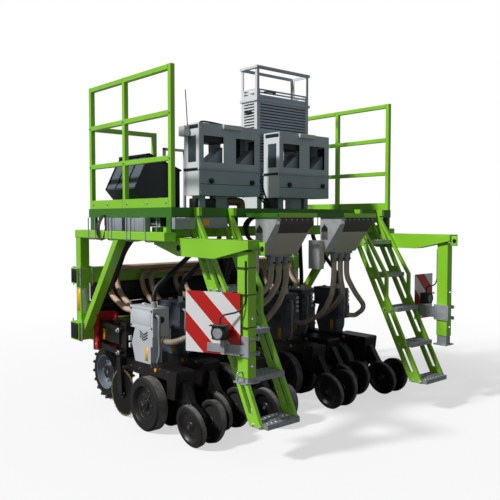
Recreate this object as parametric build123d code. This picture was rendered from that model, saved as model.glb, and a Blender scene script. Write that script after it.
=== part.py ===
from build123d import *
import math
import os

os.makedirs("parts", exist_ok=True)

# A plot seed drill with a work platform and two banks of three row units, in millimetres.
# +X is the machine's right, +Y its direction of travel, +Z up from the ground.

# Row units in two banks, the middle one of each bank set forward, and the places of the running gear
ROW_SPACING = 375
BANK_ROWS = 3
BANK_GAP = 750
ROW_STAGGER = 160
ROW_SHIFT = -50
TOOLBAR_Y = 840
COULTER_Y = 290
GAUGE_Y = -166
CLOSING_Y = -725
CARRIER_Y = 870

# Toolbars, posts, top beams, braces and joists
TOOLBAR_HALF = 1420
TOOLBAR_DEPTH = 160
TOOLBAR_WALL = 10
TOOLBAR_Z = 685
UPPER_DEPTH = 120
UPPER_HEIGHT = 140
UPPER_WALL = 8
UPPER_Z = 1180
TUBE_CORNER = 8
POST_WIDTH = 90
POST_INSET = 85
BEAM_WIDTH = 100
BEAM_HEIGHT = 70
BEAM_BOTTOM = 1520
BRACE_WIDTH = 80
BRACE_HEAD_Y = 130
JOIST_YS = (-260, -420)
JOIST_HEIGHT = 80
JOIST_WIDTH = 50

# Three-point hitch, category 2
HITCH_Y = 1300
HITCH_EYE_R = 65
HITCH_SPAN = 760
HITCH_PLATE = 30
HITCH_NOSE = 45
LOWER_PIN_Z = 560
LOWER_PIN_R = 14.2
LOWER_PIN_LENGTH = 110
MAST_HEIGHT = 610
TOP_PIN_SETBACK = 60
TOP_PIN_BORE_R = 12.85
TOP_EYE_R = 45
TOP_CLEVIS_GAP = 60
TOP_CLEVIS_PLATE = 20

# Platform and the frame that carries the hoppers behind it
DECK_INSET = 15
DECK_REAR = -560
DECK_FRONT = 740
DECK_TOP = 1775
DECK_DEPTH = 75
DECK_CHANNEL = 50
FLOOR_THICK = 8
FLOOR_DROP = 6
DECK_STRINGERS = 5
DECK_STRINGER_WIDTH = 40
DECK_STRINGER_STEP = 430
STUB_WIDTH = 40
STUB_LENGTH = 60
STUB_YS = (680, 260, -160, -520)
FRAME_BAR = 30
FRAME_HEIGHT = 34

# Railings
RAIL_WIDTH = 40
RAIL_CORNER = 5
RAIL_LEVELS = (2810, 2475, 2140)
RAIL_POST_INSET = 25
RAIL_MIDDLE_Y = 130
RAIL_FRONT_INSET = 40
TOE_HEIGHT = 72
TOE_THICK = 6
FRONT_RAIL_REACH = 600

# Ladders
LADDER_INSET = 200
LADDER_WIDTH = 365
STRINGER_THICK = 28
STRINGER_WIDTH = 125
LADDER_LEAN = 0.5223
LADDER_FOOT_Y = -1190
TREAD_FIRST = 285
TREAD_RISE = 300
TREAD_COUNT = 5
TREAD_DEPTH = 175
TREAD_LIP = 36
TREAD_SHEET = 4
SLOT_WIDTH = 46
SLOT_END = 52
STRINGER_FOOT = 253
HANDRAIL_WIDTH = 28
HANDRAIL_BEND_Y = -935
HANDRAIL_BEND_Z = 1170
HANDRAIL_FOOT_Z = 900
HANDRAIL_DROP = 35
LUG_DEPTH = 70
LUG_HEIGHT = 62

# Support arms, legs and telescopic feet
ARM_LADDER_GAP = 7
ARM_WIDTH = 131
ARM_TOP = 1545
ARM_TIP_Y = -221
ARM_TIP_DEPTH = 55
ARM_DEPTH = 135
ARM_BELLY_FRONT = -538
ARM_BELLY_REAR = -984
ARM_END_Y = -1352
ARM_END_DEPTH = 56
ARM_HOLE_Y = -555
ARM_HOLE_DROP = 74
ARM_HOLE_R = 22
LEG_WIDTH = 76
LEG_DEPTH = 110
LEG_WALL = 6
LEG_Y = -1263
LEG_BOTTOM = 620
LEG_TOP_DROP = 75
LEG_CAP = 40
FOOT_CLEARANCE = 0.4
FOOT_TUBE_LENGTH = 760
FOOT_PLATE = 130
FOOT_PLATE_THICK = 10
FOOT_HEIGHTS = {"support_foot_left": 580, "support_foot_right": 535}

# Warning panels, the clamps that carry them, and the lamps
PANEL_HEIGHT = 423
PANEL_THICK = 8
LEFT_PANEL_TURN = 113.5
LEFT_PANEL_Z = 770
LEFT_PANEL_GAP = 18
RIGHT_PANEL_WIDTH = 282
RIGHT_PANEL_Y = -985
RIGHT_PANEL_Z = 740
RIGHT_PANEL_GAP = 17
CLAMP_LEVELS = (783, 883)
CLAMP_PLATE = 12
CLAMP_MARGIN = 20
CLAMP_STRAP = 30
CLAMP_ROD_R = 7
BRACKET_SHEET = 6
BRACKET_REACH = 250
BRACKET_HEIGHT = 60
LAMP_R = 40
LAMP_LENGTH = 80
LAMP_STEM = 30
LAMP_OFFSET = 115
LAMP_RISE = 150

# Metering modules
MODULE_INNER = 120
MODULE_WIDTH = 680
MODULE_REAR = -200
MODULE_DEPTH = 220
MODULE_BOTTOM = 1885
MODULE_SPLIT = 2115
MODULE_TOP = 2489
MODULE_WALL = 5
MODULE_CORNER = 10
WINDOW_WIDTH = 214
WINDOW_HEIGHT = 220
WINDOW_SILL = 50
WINDOW_STARTS = (50, 400)
SIDE_WINDOW_DEPTH = 114
SIDE_WINDOW_Y = -102
PEDESTALS = ((45, 65), (230, 120))
PEDESTAL_SETBACK = 60
BELT_HEIGHT = 16
BELT_PROUD = 6
CHUTE_WIDTH = 240
CHUTE_RISE = 190
CHUTE_DEPTH = 120
HOOD_START = 250
HOOD_WIDTH = 204
HOOD_HEIGHT = 34
HOOD_PROUD = 24

# Tower of seed trays
TRAY_INNER = 120
TRAY_WIDTH = 700
TRAY_REAR = 110
TRAY_DEPTH = 230
TRAY_BOTTOM = 1880
TRAY_HEIGHT = 320
TRAY_COUNT = 3
TRAY_GAP = 0.4
TRAY_WALL = 5
TRAY_FOOT = 60
RIM_HEIGHT = 24
RIM_PROUD = 12
LOUVRE_COUNT = 9
LOUVRE_PITCH = 28
LOUVRE_HEIGHT = 13
LOUVRE_FIRST = 36
LOUVRE_MARGIN = 40
TOP_FRAME_HEIGHT = 308
TOP_FRAME_POST = 30
TOP_FRAME_LOUVRES = 2

# Storage bin
BIN_INSET = 120
BIN_WIDTH = 450
BIN_REAR = 150
BIN_LENGTH = 500
BIN_WALL = 6
BIN_UNDERCUT = 150
BIN_KNEE_RISE = 171
BIN_BACK_RISE = 456
BIN_FRONT_RISE = 336
BIN_LEAN = 140
BIN_RIB_COUNT = 4
BIN_RIB_WIDTH = 12
BIN_RIB_PROUD = 8
LID_THICK = 14
LID_GAP = 0.4
LID_OVERHANG = 10
HINGE_OFFSET = 13
HINGE_BARREL_R = 10
HINGE_PIN_R = 5
HINGE_LUG = 20
HINGE_MARGIN = 20

# Seed hoppers, their outlets and the seed tubes
HOPPER_INNER = 170
HOPPER_WIDTH = 420
HOPPER_REAR = -930
HOPPER_DEPTH = 260
HOPPER_TOP = 1700
HOPPER_STRAIGHT = 52
HOPPER_CONE = 248
HOPPER_CORNER = 24
HOPPER_MOUTH_CUT = (90, 50)
HOPPER_OUTLET = 100
HOPPER_WALL = 4
PORT_WIDTH = 74
PORT_HEIGHT = 137
PORT_EAVES = 36
PORT_DROP = 58
PORT_SETBACK = 12
DUCT_WIDTH = 60
DUCT_DEPTH = 130
DUCT_HEIGHT = 250
DUCT_DROP = 200
DUCT_OVERLAP = 45
OUTLET_PLATE = 20
OUTLET_SPREAD = 85
OUTLET_COLLAR_R = 36
OUTLET_R = 30
OUTLET_LENGTH = 70
TUBE_R = 24
TUBE_ENTRY_DROP = 85
TUBE_DROP = 140
TUBE_KNEE_DROP = 300
TUBE_KNEE_REACH = 40
TUBE_REACH = 420
TUBE_RISE = 130
TUBE_LEAD = 150

# Air fan, air chest and air hoses
FAN_X = 0
FAN_R = 200
FAN_WIDTH = 170
FAN_SETBACK = 60
FAN_LIFT = 50
FAN_INLET_R = 120
FAN_INLET_DEPTH = 35
CHEST_END_GAP = 50
CHEST_DEPTH = 110
CHEST_HEIGHT = 170
CHEST_ROUND = 20
HOSE_PAIR = 36
HOSE_ENTRY_DROP = 55
LANE_PITCH = 50
LANE_LIFT = 30
LANE_GAP = 2

# Feed tubes from the metering modules down to the control boxes, and the lamp cables
FEED_R = 20
FEED_FIRST = 320
FEED_STEP = 170
FEED_Y = -100
FEED_INSET = 45
FEED_DROP = 260
FEED_LEAD = 150
CABLE_R = 6
CABLE_INSET = 15
CABLE_DROP = 330
CABLE_LEAD = 70

# Control boxes under the platform's left edge
DECK_BOX_STARTS = (300, -50, -340)
DECK_BOX_LENGTHS = (240, 240, 180)
DECK_BOX_DEPTH = 140
DECK_BOX_HEIGHT = 70

# Row units
LINK_LENGTH = 370
LINK_DROP = 25
LINK_UPPER_Z = 760
LINK_LOWER_Z = 565
LINK_HEAD_Y = 712
LINK_PIN_R = 12
LINK_BAR = 16
LINK_HEIGHT = 46
LINK_SIDE_GAP = 2
HEAD_HALF = 106
HEAD_FLANGE = 22
HEAD_BACK = 20
HEAD_TOP = 845
HEAD_BOTTOM = 510
HEAD_NOSE_Y = 680
HEAD_WAIST_Y = 715
HEAD_LOBE = 70
HEAD_ROUND = 14
SPRING_R = 34
SPRING_Z = 662
DRIVE_HALF = 60
DRIVE_BOTTOM = 600
DRIVE_TOP = 722
DRIVE_ROUND = 12
BODY_HALF = 45
BODY_BOTTOM = 400
BODY_TOP = 500
BODY_REAR = -145
MAST_DEPTH = 60
MAST_NOSE = 35
MAST_CROWN = 40
SHANK_HALF = 9
SHANK_TOE = 120
SHANK_REACH = 60
SHANK_TAPER = 20
SHANK_RISE = 30
COULTER_ARM_TOP = 510
COULTER_ARM_THICK = 15
COULTER_ARM_GAP = 18
COULTER_ARM_SEAT = 40
COULTER_EYE_R = 35
HOUSING_SHIFT = 50
HOUSING_HALF = 90
HOUSING_TOP = 780
HOUSING_FRONT = 146
HOUSING_BULGE = 199
HOUSING_REAR = -121
HOUSING_HEEL = -93
HOUSING_STEP = 650
HOUSING_BOTTOM = 505
HOUSING_LOWER_RIGHT = 20
BOX_FRONT = 222
BOX_REAR = -121
BOX_RIGHT = 65
BOX_TOP = 960
BOX_APRON = 730
BOX_SHEET = 8
REAR_BOX_HALF = 86
REAR_BOX_REAR = -527
REAR_BOX_TOP = 522
REAR_BOX_BOTTOM = 300
REAR_BOX_SHELF = 440
REAR_BOX_ROUND = 16
REAR_BOX_RAKE = 30
WHEEL_CLEARANCE = 12

# Wheels and discs
AXLE_R = 15
AXLE_GAP = 0.3
HUB_INSET = 12
RIM_FLARE = 8
GAUGE_R = 215
GAUGE_WIDTH = 110
GAUGE_OFFSET = 108
GAUGE_RIM_R = 145
GAUGE_HUB_R = 40
GAUGE_ARM_THICK = 10
GAUGE_ARM_GAP = 5
GAUGE_EYE_R = 32
GAUGE_ARM_ROOT = (110, 220)
GAUGE_WEB = 8
GAUGE_SHOULDER = 16
CLOSING_R = 160
CLOSING_WIDTH = 56
CLOSING_OFFSET = 92
CLOSING_CAMBER = 10
CLOSING_RIM_R = 118
CLOSING_HUB_R = 32
CLOSING_WEB = 6
CLOSING_SHOULDER = 10
TAIL_HALF = 30
TAIL_CORNERS = ((80, 43), (-35, -30), (-35, 55), (100, 133))
CARRIER_R = 255
CARRIER_WIDTH = 170
CARRIER_X = 1020
CARRIER_RIM_R = 150
CARRIER_HUB_R = 60
CARRIER_AXLE_R = 20
CARRIER_WEB = 12
CARRIER_SHOULDER = 24
FORK_THICK = 20
FORK_GAP = 12
FORK_FOOT = 40
FORK_CLAMP = 20
LUG_COUNT = 18
TREAD_LUG_HEIGHT = 10
TREAD_LUG_PROUD = 5
TREAD_LUG_LENGTH = 82
TREAD_LUG_WIDTH = 24
TREAD_LUG_ANGLE = 28
COULTER_R = 200
COULTER_THICK = 5
COULTER_OFFSET = -75
COULTER_NOTCHES = 36
COULTER_NOTCH_R = 6
COULTER_GROUND_GAP = 5
OPENER_R = 178
OPENER_THICK = 4
OPENER_OFFSET = 16
DISC_HUB_R = 45
DISC_HUB_HALF = 12
DISC_HUB_RECESS = 2
DISC_BEVEL = 6

# Places worked out from the driving dimensions
SIDES = (-1, 1)
ROW_UNITS = sorted((side * (BANK_GAP / 2 + n * ROW_SPACING) + ROW_SHIFT, n % 2 * ROW_STAGGER)
                   for side in SIDES for n in range(BANK_ROWS))
TOOLBAR_TOP = TOOLBAR_Z + TOOLBAR_DEPTH / 2
TOOLBAR_BOTTOM = TOOLBAR_Z - TOOLBAR_DEPTH / 2
TOOLBAR_REAR = TOOLBAR_Y - TOOLBAR_DEPTH / 2
TOOLBAR_FRONT = TOOLBAR_Y + TOOLBAR_DEPTH / 2
UPPER_BOTTOM = UPPER_Z - UPPER_HEIGHT / 2
UPPER_TOP = UPPER_Z + UPPER_HEIGHT / 2
UPPER_REAR = TOOLBAR_Y - UPPER_DEPTH / 2
UPPER_FRONT = TOOLBAR_Y + UPPER_DEPTH / 2
POST_X = TOOLBAR_HALF - POST_INSET
CHEST_HALF = POST_X - POST_WIDTH / 2 - CHEST_END_GAP
BEAM_TOP = BEAM_BOTTOM + BEAM_HEIGHT
DECK_HALF = POST_X - DECK_INSET
DECK_BOTTOM = DECK_TOP - DECK_DEPTH
FLOOR_TOP = DECK_TOP - FLOOR_DROP
LADDER_OUTER = DECK_HALF - LADDER_INSET
LADDER_INNER = LADDER_OUTER - LADDER_WIDTH
ARM_INNER = LADDER_OUTER + ARM_LADDER_GAP
LEG_X = ARM_INNER + ARM_WIDTH / 2
TOP_PIN_Z = LOWER_PIN_Z + MAST_HEIGHT
TOP_PIN_Y = HITCH_Y - TOP_PIN_SETBACK
HOPPER_FRONT = HOPPER_REAR + HOPPER_DEPTH
HOPPER_KNEE = HOPPER_TOP - HOPPER_STRAIGHT
HOPPER_OUTLET_Z = HOPPER_KNEE - HOPPER_CONE
HOPPER_X = HOPPER_INNER + HOPPER_WIDTH / 2
OUTLET_Y = HOPPER_FRONT - HOPPER_OUTLET / 2


def block(x0, x1, y0, y1, z0, z1):
    """A box between two corners."""
    size = (abs(x1 - x0), abs(y1 - y0), abs(z1 - z0))
    return Pos((x0 + x1) / 2, (y0 + y1) / 2, (z0 + z1) / 2) * Box(*size)


def stock(x0, x1, y0, y1, z0, z1, along, corner):
    """A length of section tube with rounded long edges."""
    bare = block(x0, x1, y0, y1, z0, z1)
    return fillet(bare.edges().filter_by(along), corner)


def side_plate(points, x0, x1, rounding=0):
    """An outline in Y and Z, its corners rounded if asked, thickened from x0 to x1."""
    outline = Polygon(*points, align=None)
    if rounding:
        outline = fillet(outline.vertices(), rounding)
    plane = Plane(origin=(min(x0, x1), 0, 0), x_dir=(0, 1, 0), z_dir=(1, 0, 0))
    return extrude(plane * outline, amount=abs(x1 - x0), dir=(1, 0, 0))


def cross_plate(points, y0, y1):
    """An outline in X and Z, thickened from y0 to y1."""
    plane = Plane(origin=(0, max(y0, y1), 0), x_dir=(1, 0, 0), z_dir=(0, -1, 0))
    return extrude(plane * Polygon(*points, align=None), amount=abs(y1 - y0), dir=(0, -1, 0))


def rod(start, end, radius):
    """A round bar between two points."""
    run = Vector(*end) - Vector(*start)
    plane = Plane(origin=start, z_dir=run)
    return plane * Cylinder(radius, run.length, align=(Align.CENTER, Align.CENTER, Align.MIN))


def bar(start, end, width, depth):
    """A rectangular bar between two points of one side plane, width along X."""
    run = Vector(*end) - Vector(*start)
    plane = Plane(origin=start, x_dir=(1, 0, 0), z_dir=run)
    return plane * Box(width, depth, run.length, align=(Align.CENTER, Align.CENTER, Align.MIN))


def hose(points, radius):
    """A round hose along straight runs, each corner an arc as large as its runs allow."""
    bends = []
    for before, corner, after in zip(points, points[1:], points[2:]):
        first = Vector(*corner) - Vector(*before)
        second = Vector(*after) - Vector(*corner)
        half_turn = math.radians(first.get_angle(second)) / 2
        bends.append(0.45 * min(first.length, second.length) / math.tan(half_turn))
    path = FilletPolyline(*points, radius=bends)
    return sweep(Plane(origin=points[0], z_dir=path % 0) * Circle(radius), path=path)


def section_tube(half_length, y, z, depth, height, wall):
    """A lateral hollow section tube, open at both ends."""
    plane = Plane(origin=(-half_length, y, z), x_dir=(0, 1, 0), z_dir=(1, 0, 0))
    wall_section = RectangleRounded(depth, height, TUBE_CORNER)
    wall_section -= Rectangle(depth - 2 * wall, height - 2 * wall)
    return extrude(plane * wall_section, amount=2 * half_length)


def both_sides(shape):
    """A shape and its mirror image across the machine's centre plane."""
    return [shape, mirror(shape, about=Plane.YZ)]


def save(node, shapes):
    """Write the solids of one node."""
    solids = [solid for shape in shapes for solid in shape.solids()]
    export_step(Compound(solids), f"parts/{node}.step")


# Lower and upper toolbars
save("lower_toolbar", [section_tube(TOOLBAR_HALF, TOOLBAR_Y, TOOLBAR_Z, TOOLBAR_DEPTH, TOOLBAR_DEPTH, TOOLBAR_WALL)])
save("upper_toolbar", [section_tube(TOOLBAR_HALF, TOOLBAR_Y, UPPER_Z, UPPER_DEPTH, UPPER_HEIGHT, UPPER_WALL)])

# Side frames: stacked posts, top beams, diagonal braces and two joists between the beams
post_in, post_out = POST_X - POST_WIDTH / 2, POST_X + POST_WIDTH / 2
post_rear, post_front = TOOLBAR_Y - POST_WIDTH / 2, TOOLBAR_Y + POST_WIDTH / 2
beam_in, beam_out = POST_X - BEAM_WIDTH / 2, POST_X + BEAM_WIDTH / 2
lower_post = stock(post_in, post_out, post_rear, post_front, TOOLBAR_TOP, UPPER_BOTTOM, Axis.Z, TUBE_CORNER)
upper_post = stock(post_in, post_out, post_rear, post_front, UPPER_TOP, BEAM_BOTTOM, Axis.Z, TUBE_CORNER)
top_beam = stock(beam_in, beam_out, DECK_REAR, post_front, BEAM_BOTTOM, BEAM_TOP, Axis.Y, TUBE_CORNER)
brace_points = [(TOOLBAR_REAR, TOOLBAR_TOP), (TOOLBAR_REAR, TOOLBAR_TOP - BRACE_WIDTH),
                (TOOLBAR_REAR - BRACE_WIDTH / 2, TOOLBAR_TOP - BRACE_WIDTH / 2),
                (BRACE_HEAD_Y, BEAM_BOTTOM), (BRACE_HEAD_Y + BRACE_WIDTH, BEAM_BOTTOM)]
brace = side_plate(brace_points, POST_X - BRACE_WIDTH / 2, POST_X + BRACE_WIDTH / 2)
joists = [stock(-beam_in, beam_in, y - JOIST_WIDTH / 2, y + JOIST_WIDTH / 2, ARM_TOP, ARM_TOP + JOIST_HEIGHT,
                Axis.X, TUBE_CORNER) for y in JOIST_YS]
members = [lower_post, upper_post, top_beam, brace]
save("side_frames", [half for member in members for half in both_sides(member)] + joists)

# Three-point hitch: two lower brackets with stud pins, and the top-link clevis
pin_in = HITCH_SPAN / 2 + HITCH_PLATE
lower_outline = [(TOOLBAR_FRONT, TOOLBAR_TOP), (TOOLBAR_FRONT, LOWER_PIN_Z - HITCH_EYE_R),
                 (HITCH_Y, LOWER_PIN_Z - HITCH_EYE_R), (HITCH_Y + HITCH_NOSE, LOWER_PIN_Z),
                 (HITCH_Y, LOWER_PIN_Z + HITCH_EYE_R)]
lower_bracket = side_plate(lower_outline, HITCH_SPAN / 2, pin_in)
lower_bracket += rod((HITCH_SPAN / 2, HITCH_Y, LOWER_PIN_Z), (pin_in, HITCH_Y, LOWER_PIN_Z), HITCH_EYE_R)
lower_bracket += rod((pin_in, HITCH_Y, LOWER_PIN_Z), (pin_in + LOWER_PIN_LENGTH, HITCH_Y, LOWER_PIN_Z), LOWER_PIN_R)
ear_in = TOP_CLEVIS_GAP / 2
ear_out = ear_in + TOP_CLEVIS_PLATE
ear = side_plate([(UPPER_FRONT, UPPER_TOP), (UPPER_FRONT, UPPER_BOTTOM), (TOP_PIN_Y, TOP_PIN_Z - TOP_EYE_R),
                  (TOP_PIN_Y, TOP_PIN_Z + TOP_EYE_R)], ear_in, ear_out)
ear += rod((ear_in, TOP_PIN_Y, TOP_PIN_Z), (ear_out, TOP_PIN_Y, TOP_PIN_Z), TOP_EYE_R)
ear -= rod((ear_in, TOP_PIN_Y, TOP_PIN_Z), (ear_out, TOP_PIN_Y, TOP_PIN_Z), TOP_PIN_BORE_R)
save("hitch_brackets", both_sides(lower_bracket) + both_sides(ear))

# Platform: channel frame, floor, fore-and-aft stringers, stubs on the top beams and the hopper frame
inner_half = DECK_HALF - DECK_CHANNEL
inner_rear, inner_front = DECK_REAR + DECK_CHANNEL, DECK_FRONT - DECK_CHANNEL
floor_bottom = FLOOR_TOP - FLOOR_THICK
side_channel = block(inner_half, DECK_HALF, DECK_REAR, DECK_FRONT, DECK_BOTTOM, DECK_TOP)
deck = both_sides(side_channel)
deck.append(block(-inner_half, inner_half, DECK_REAR, inner_rear, DECK_BOTTOM, DECK_TOP))
deck.append(block(-inner_half, inner_half, inner_front, DECK_FRONT, DECK_BOTTOM, DECK_TOP))
deck.append(block(-inner_half, inner_half, inner_rear, inner_front, floor_bottom, FLOOR_TOP))
for n in range(DECK_STRINGERS):
    x = (n - (DECK_STRINGERS - 1) / 2) * DECK_STRINGER_STEP
    deck.append(block(x - DECK_STRINGER_WIDTH / 2, x + DECK_STRINGER_WIDTH / 2, inner_rear, inner_front,
                      DECK_BOTTOM, floor_bottom))
for y in STUB_YS:
    deck += both_sides(block(DECK_HALF - STUB_WIDTH, DECK_HALF, y - STUB_LENGTH / 2, y + STUB_LENGTH / 2,
                             BEAM_TOP, DECK_BOTTOM))
hopper_outer = HOPPER_INNER + HOPPER_WIDTH
frame_end = hopper_outer + FRAME_BAR / 2
frame_rear = HOPPER_REAR - FRAME_BAR / 2
frame_top = HOPPER_TOP + FRAME_HEIGHT
deck.append(block(-frame_end, frame_end, frame_rear, frame_rear + FRAME_BAR, HOPPER_TOP, frame_top))
for x in (-hopper_outer, -HOPPER_INNER, HOPPER_INNER, hopper_outer):
    deck.append(block(x - FRAME_BAR / 2, x + FRAME_BAR / 2, frame_rear + FRAME_BAR, DECK_REAR, HOPPER_TOP, frame_top))
save("deck", deck)

# Railings: posts, three levels of rail in two bays, toe boards and a short return across the front
rail_half = RAIL_WIDTH / 2
rail_in = DECK_HALF - RAIL_WIDTH
rail_top = RAIL_LEVELS[0] + rail_half
post_ys = (DECK_REAR + RAIL_POST_INSET, RAIL_MIDDLE_Y, DECK_FRONT - RAIL_FRONT_INSET)
railing = []
for y in post_ys:
    railing.append(stock(rail_in, DECK_HALF, y - rail_half, y + rail_half, DECK_TOP, rail_top, Axis.Z, RAIL_CORNER))
for start, end in zip(post_ys, post_ys[1:]):
    for z in RAIL_LEVELS:
        railing.append(stock(rail_in, DECK_HALF, start + rail_half, end - rail_half, z - rail_half, z + rail_half,
                             Axis.Y, RAIL_CORNER))
    railing.append(block(DECK_HALF - TOE_THICK, DECK_HALF, start + rail_half, end - rail_half,
                         DECK_TOP, DECK_TOP + TOE_HEIGHT))
return_z = RAIL_LEVELS[1] + rail_half
return_end = rail_in - FRONT_RAIL_REACH
return_rear, return_front = post_ys[-1] - rail_half, post_ys[-1] + rail_half
railing.append(stock(return_end, rail_in, return_rear, return_front, return_z - RAIL_WIDTH, return_z,
                     Axis.X, RAIL_CORNER))
railing.append(stock(return_end - RAIL_WIDTH, return_end, return_rear, return_front, DECK_TOP, return_z,
                     Axis.Z, RAIL_CORNER))
save("railings", [half for member in railing for half in both_sides(member)])


def ladder_front(z):
    """The stringer's front edge at a height."""
    return LADDER_FOOT_Y + LADDER_LEAN * (z - TREAD_FIRST)


# Ladders: slotted stringers with welded handrails and top lugs
stringer_points = [(ladder_front(STRINGER_FOOT), STRINGER_FOOT), (ladder_front(DECK_BOTTOM), DECK_BOTTOM),
                   (ladder_front(DECK_BOTTOM) - STRINGER_WIDTH, DECK_BOTTOM),
                   (ladder_front(STRINGER_FOOT) - STRINGER_WIDTH, STRINGER_FOOT)]
tread_tops = [TREAD_FIRST + TREAD_RISE * i for i in range(TREAD_COUNT)]
slot_edge = (STRINGER_WIDTH - SLOT_WIDTH) / 2
handrail_top = DECK_TOP - HANDRAIL_DROP


def stringer(x0, x1):
    """One stringer with a long slot between each two treads, its handrail and its lug."""
    plate = side_plate(stringer_points, x0, x1)
    for low in tread_tops:
        z0 = low + SLOT_END
        z1 = min(low + TREAD_RISE, DECK_BOTTOM) - SLOT_END
        plate -= side_plate([(ladder_front(z0) - slot_edge, z0), (ladder_front(z1) - slot_edge, z1),
                             (ladder_front(z1) - STRINGER_WIDTH + slot_edge, z1),
                             (ladder_front(z0) - STRINGER_WIDTH + slot_edge, z0)], x0, x1)
    x = (x0 + x1) / 2
    bend = (x, HANDRAIL_BEND_Y, HANDRAIL_BEND_Z)
    rail = bar((x, HANDRAIL_BEND_Y, HANDRAIL_FOOT_Z), bend, HANDRAIL_WIDTH, HANDRAIL_WIDTH)
    rail += bar(bend, (x, DECK_REAR, handrail_top), HANDRAIL_WIDTH, HANDRAIL_WIDTH)
    rail += rod((x - HANDRAIL_WIDTH / 2, HANDRAIL_BEND_Y, HANDRAIL_BEND_Z),
                (x + HANDRAIL_WIDTH / 2, HANDRAIL_BEND_Y, HANDRAIL_BEND_Z), HANDRAIL_WIDTH / 2)
    rail += block(x0, x1, DECK_REAR - LUG_DEPTH, DECK_REAR, DECK_TOP - LUG_HEIGHT, DECK_TOP)
    rail -= block(x0, x1, DECK_REAR, DECK_FRONT, HANDRAIL_BEND_Z, rail_top)
    return plate + rail


ladder = [stringer(LADDER_INNER, LADDER_INNER + STRINGER_THICK),
          stringer(LADDER_OUTER - STRINGER_THICK, LADDER_OUTER)]
save("ladder_frames", [half for part in ladder for half in both_sides(part)])

# Ladder treads: folded sheet with lips, bolted between the stringers
treads = []
tread_in, tread_out = LADDER_INNER + STRINGER_THICK, LADDER_OUTER - STRINGER_THICK
for top in tread_tops:
    front = ladder_front(top)
    tread = block(tread_in, tread_out, front - TREAD_DEPTH, front, top - TREAD_LIP, top)
    tread -= block(tread_in + TREAD_SHEET, tread_out - TREAD_SHEET, front - TREAD_DEPTH + TREAD_SHEET,
                   front - TREAD_SHEET, top - TREAD_LIP, top - TREAD_SHEET)
    treads += both_sides(tread)
save("ladder_treads", treads)

# Support arms: tapered box arms with hollow legs under their rear ends
belly = ARM_TOP - ARM_DEPTH
arm_outline = [(ARM_TIP_Y, ARM_TOP), (ARM_TIP_Y, ARM_TOP - ARM_TIP_DEPTH), (ARM_BELLY_FRONT, belly),
               (ARM_BELLY_REAR, belly), (ARM_END_Y, ARM_TOP - ARM_END_DEPTH), (ARM_END_Y, ARM_TOP)]
hole_z = ARM_TOP - ARM_HOLE_DROP
leg_top = ARM_TOP - LEG_TOP_DROP
leg_x0, leg_x1 = LEG_X - LEG_WIDTH / 2, LEG_X + LEG_WIDTH / 2
leg_y0, leg_y1 = LEG_Y - LEG_DEPTH / 2, LEG_Y + LEG_DEPTH / 2
arm = side_plate(arm_outline, ARM_INNER, ARM_INNER + ARM_WIDTH)
arm -= rod((ARM_INNER, ARM_HOLE_Y, hole_z), (ARM_INNER + ARM_WIDTH, ARM_HOLE_Y, hole_z), ARM_HOLE_R)
arm += stock(leg_x0, leg_x1, leg_y0, leg_y1, LEG_BOTTOM, leg_top, Axis.Z, LEG_WALL)
arm -= block(leg_x0 + LEG_WALL, leg_x1 - LEG_WALL, leg_y0 + LEG_WALL, leg_y1 - LEG_WALL,
             LEG_BOTTOM, leg_top - LEG_CAP)
save("support_arms", both_sides(arm))

# Telescopic feet: a tube that slides in the leg, with a square plate under it
tube_x = LEG_WIDTH / 2 - LEG_WALL - FOOT_CLEARANCE
tube_y = LEG_DEPTH / 2 - LEG_WALL - FOOT_CLEARANCE
for side, (node, plate_z) in zip(SIDES, FOOT_HEIGHTS.items()):
    x = side * LEG_X
    foot = block(x - tube_x, x + tube_x, LEG_Y - tube_y, LEG_Y + tube_y, plate_z, plate_z + FOOT_TUBE_LENGTH)
    foot += block(x - FOOT_PLATE / 2, x + FOOT_PLATE / 2, LEG_Y - FOOT_PLATE / 2, LEG_Y + FOOT_PLATE / 2,
                  plate_z, plate_z + FOOT_PLATE_THICK)
    save(node, [foot])

# Warning panels: columns: near edge x and y, turn from the rear in degrees, width, underside height
PANELS = [(-leg_x1 - LEFT_PANEL_GAP, LEG_Y, LEFT_PANEL_TURN, PANEL_HEIGHT, LEFT_PANEL_Z),
          (LADDER_OUTER + RIGHT_PANEL_GAP, RIGHT_PANEL_Y, 0, RIGHT_PANEL_WIDTH, RIGHT_PANEL_Z)]
panels = []
for x, y, turn, width, z in PANELS:
    panel = Box(width, PANEL_THICK, PANEL_HEIGHT, align=(Align.MIN, Align.CENTER, Align.MIN))
    panels.append(Pos(x, y, z) * Rot(0, 0, turn) * panel)
save("warning_panels", panels)

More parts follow.
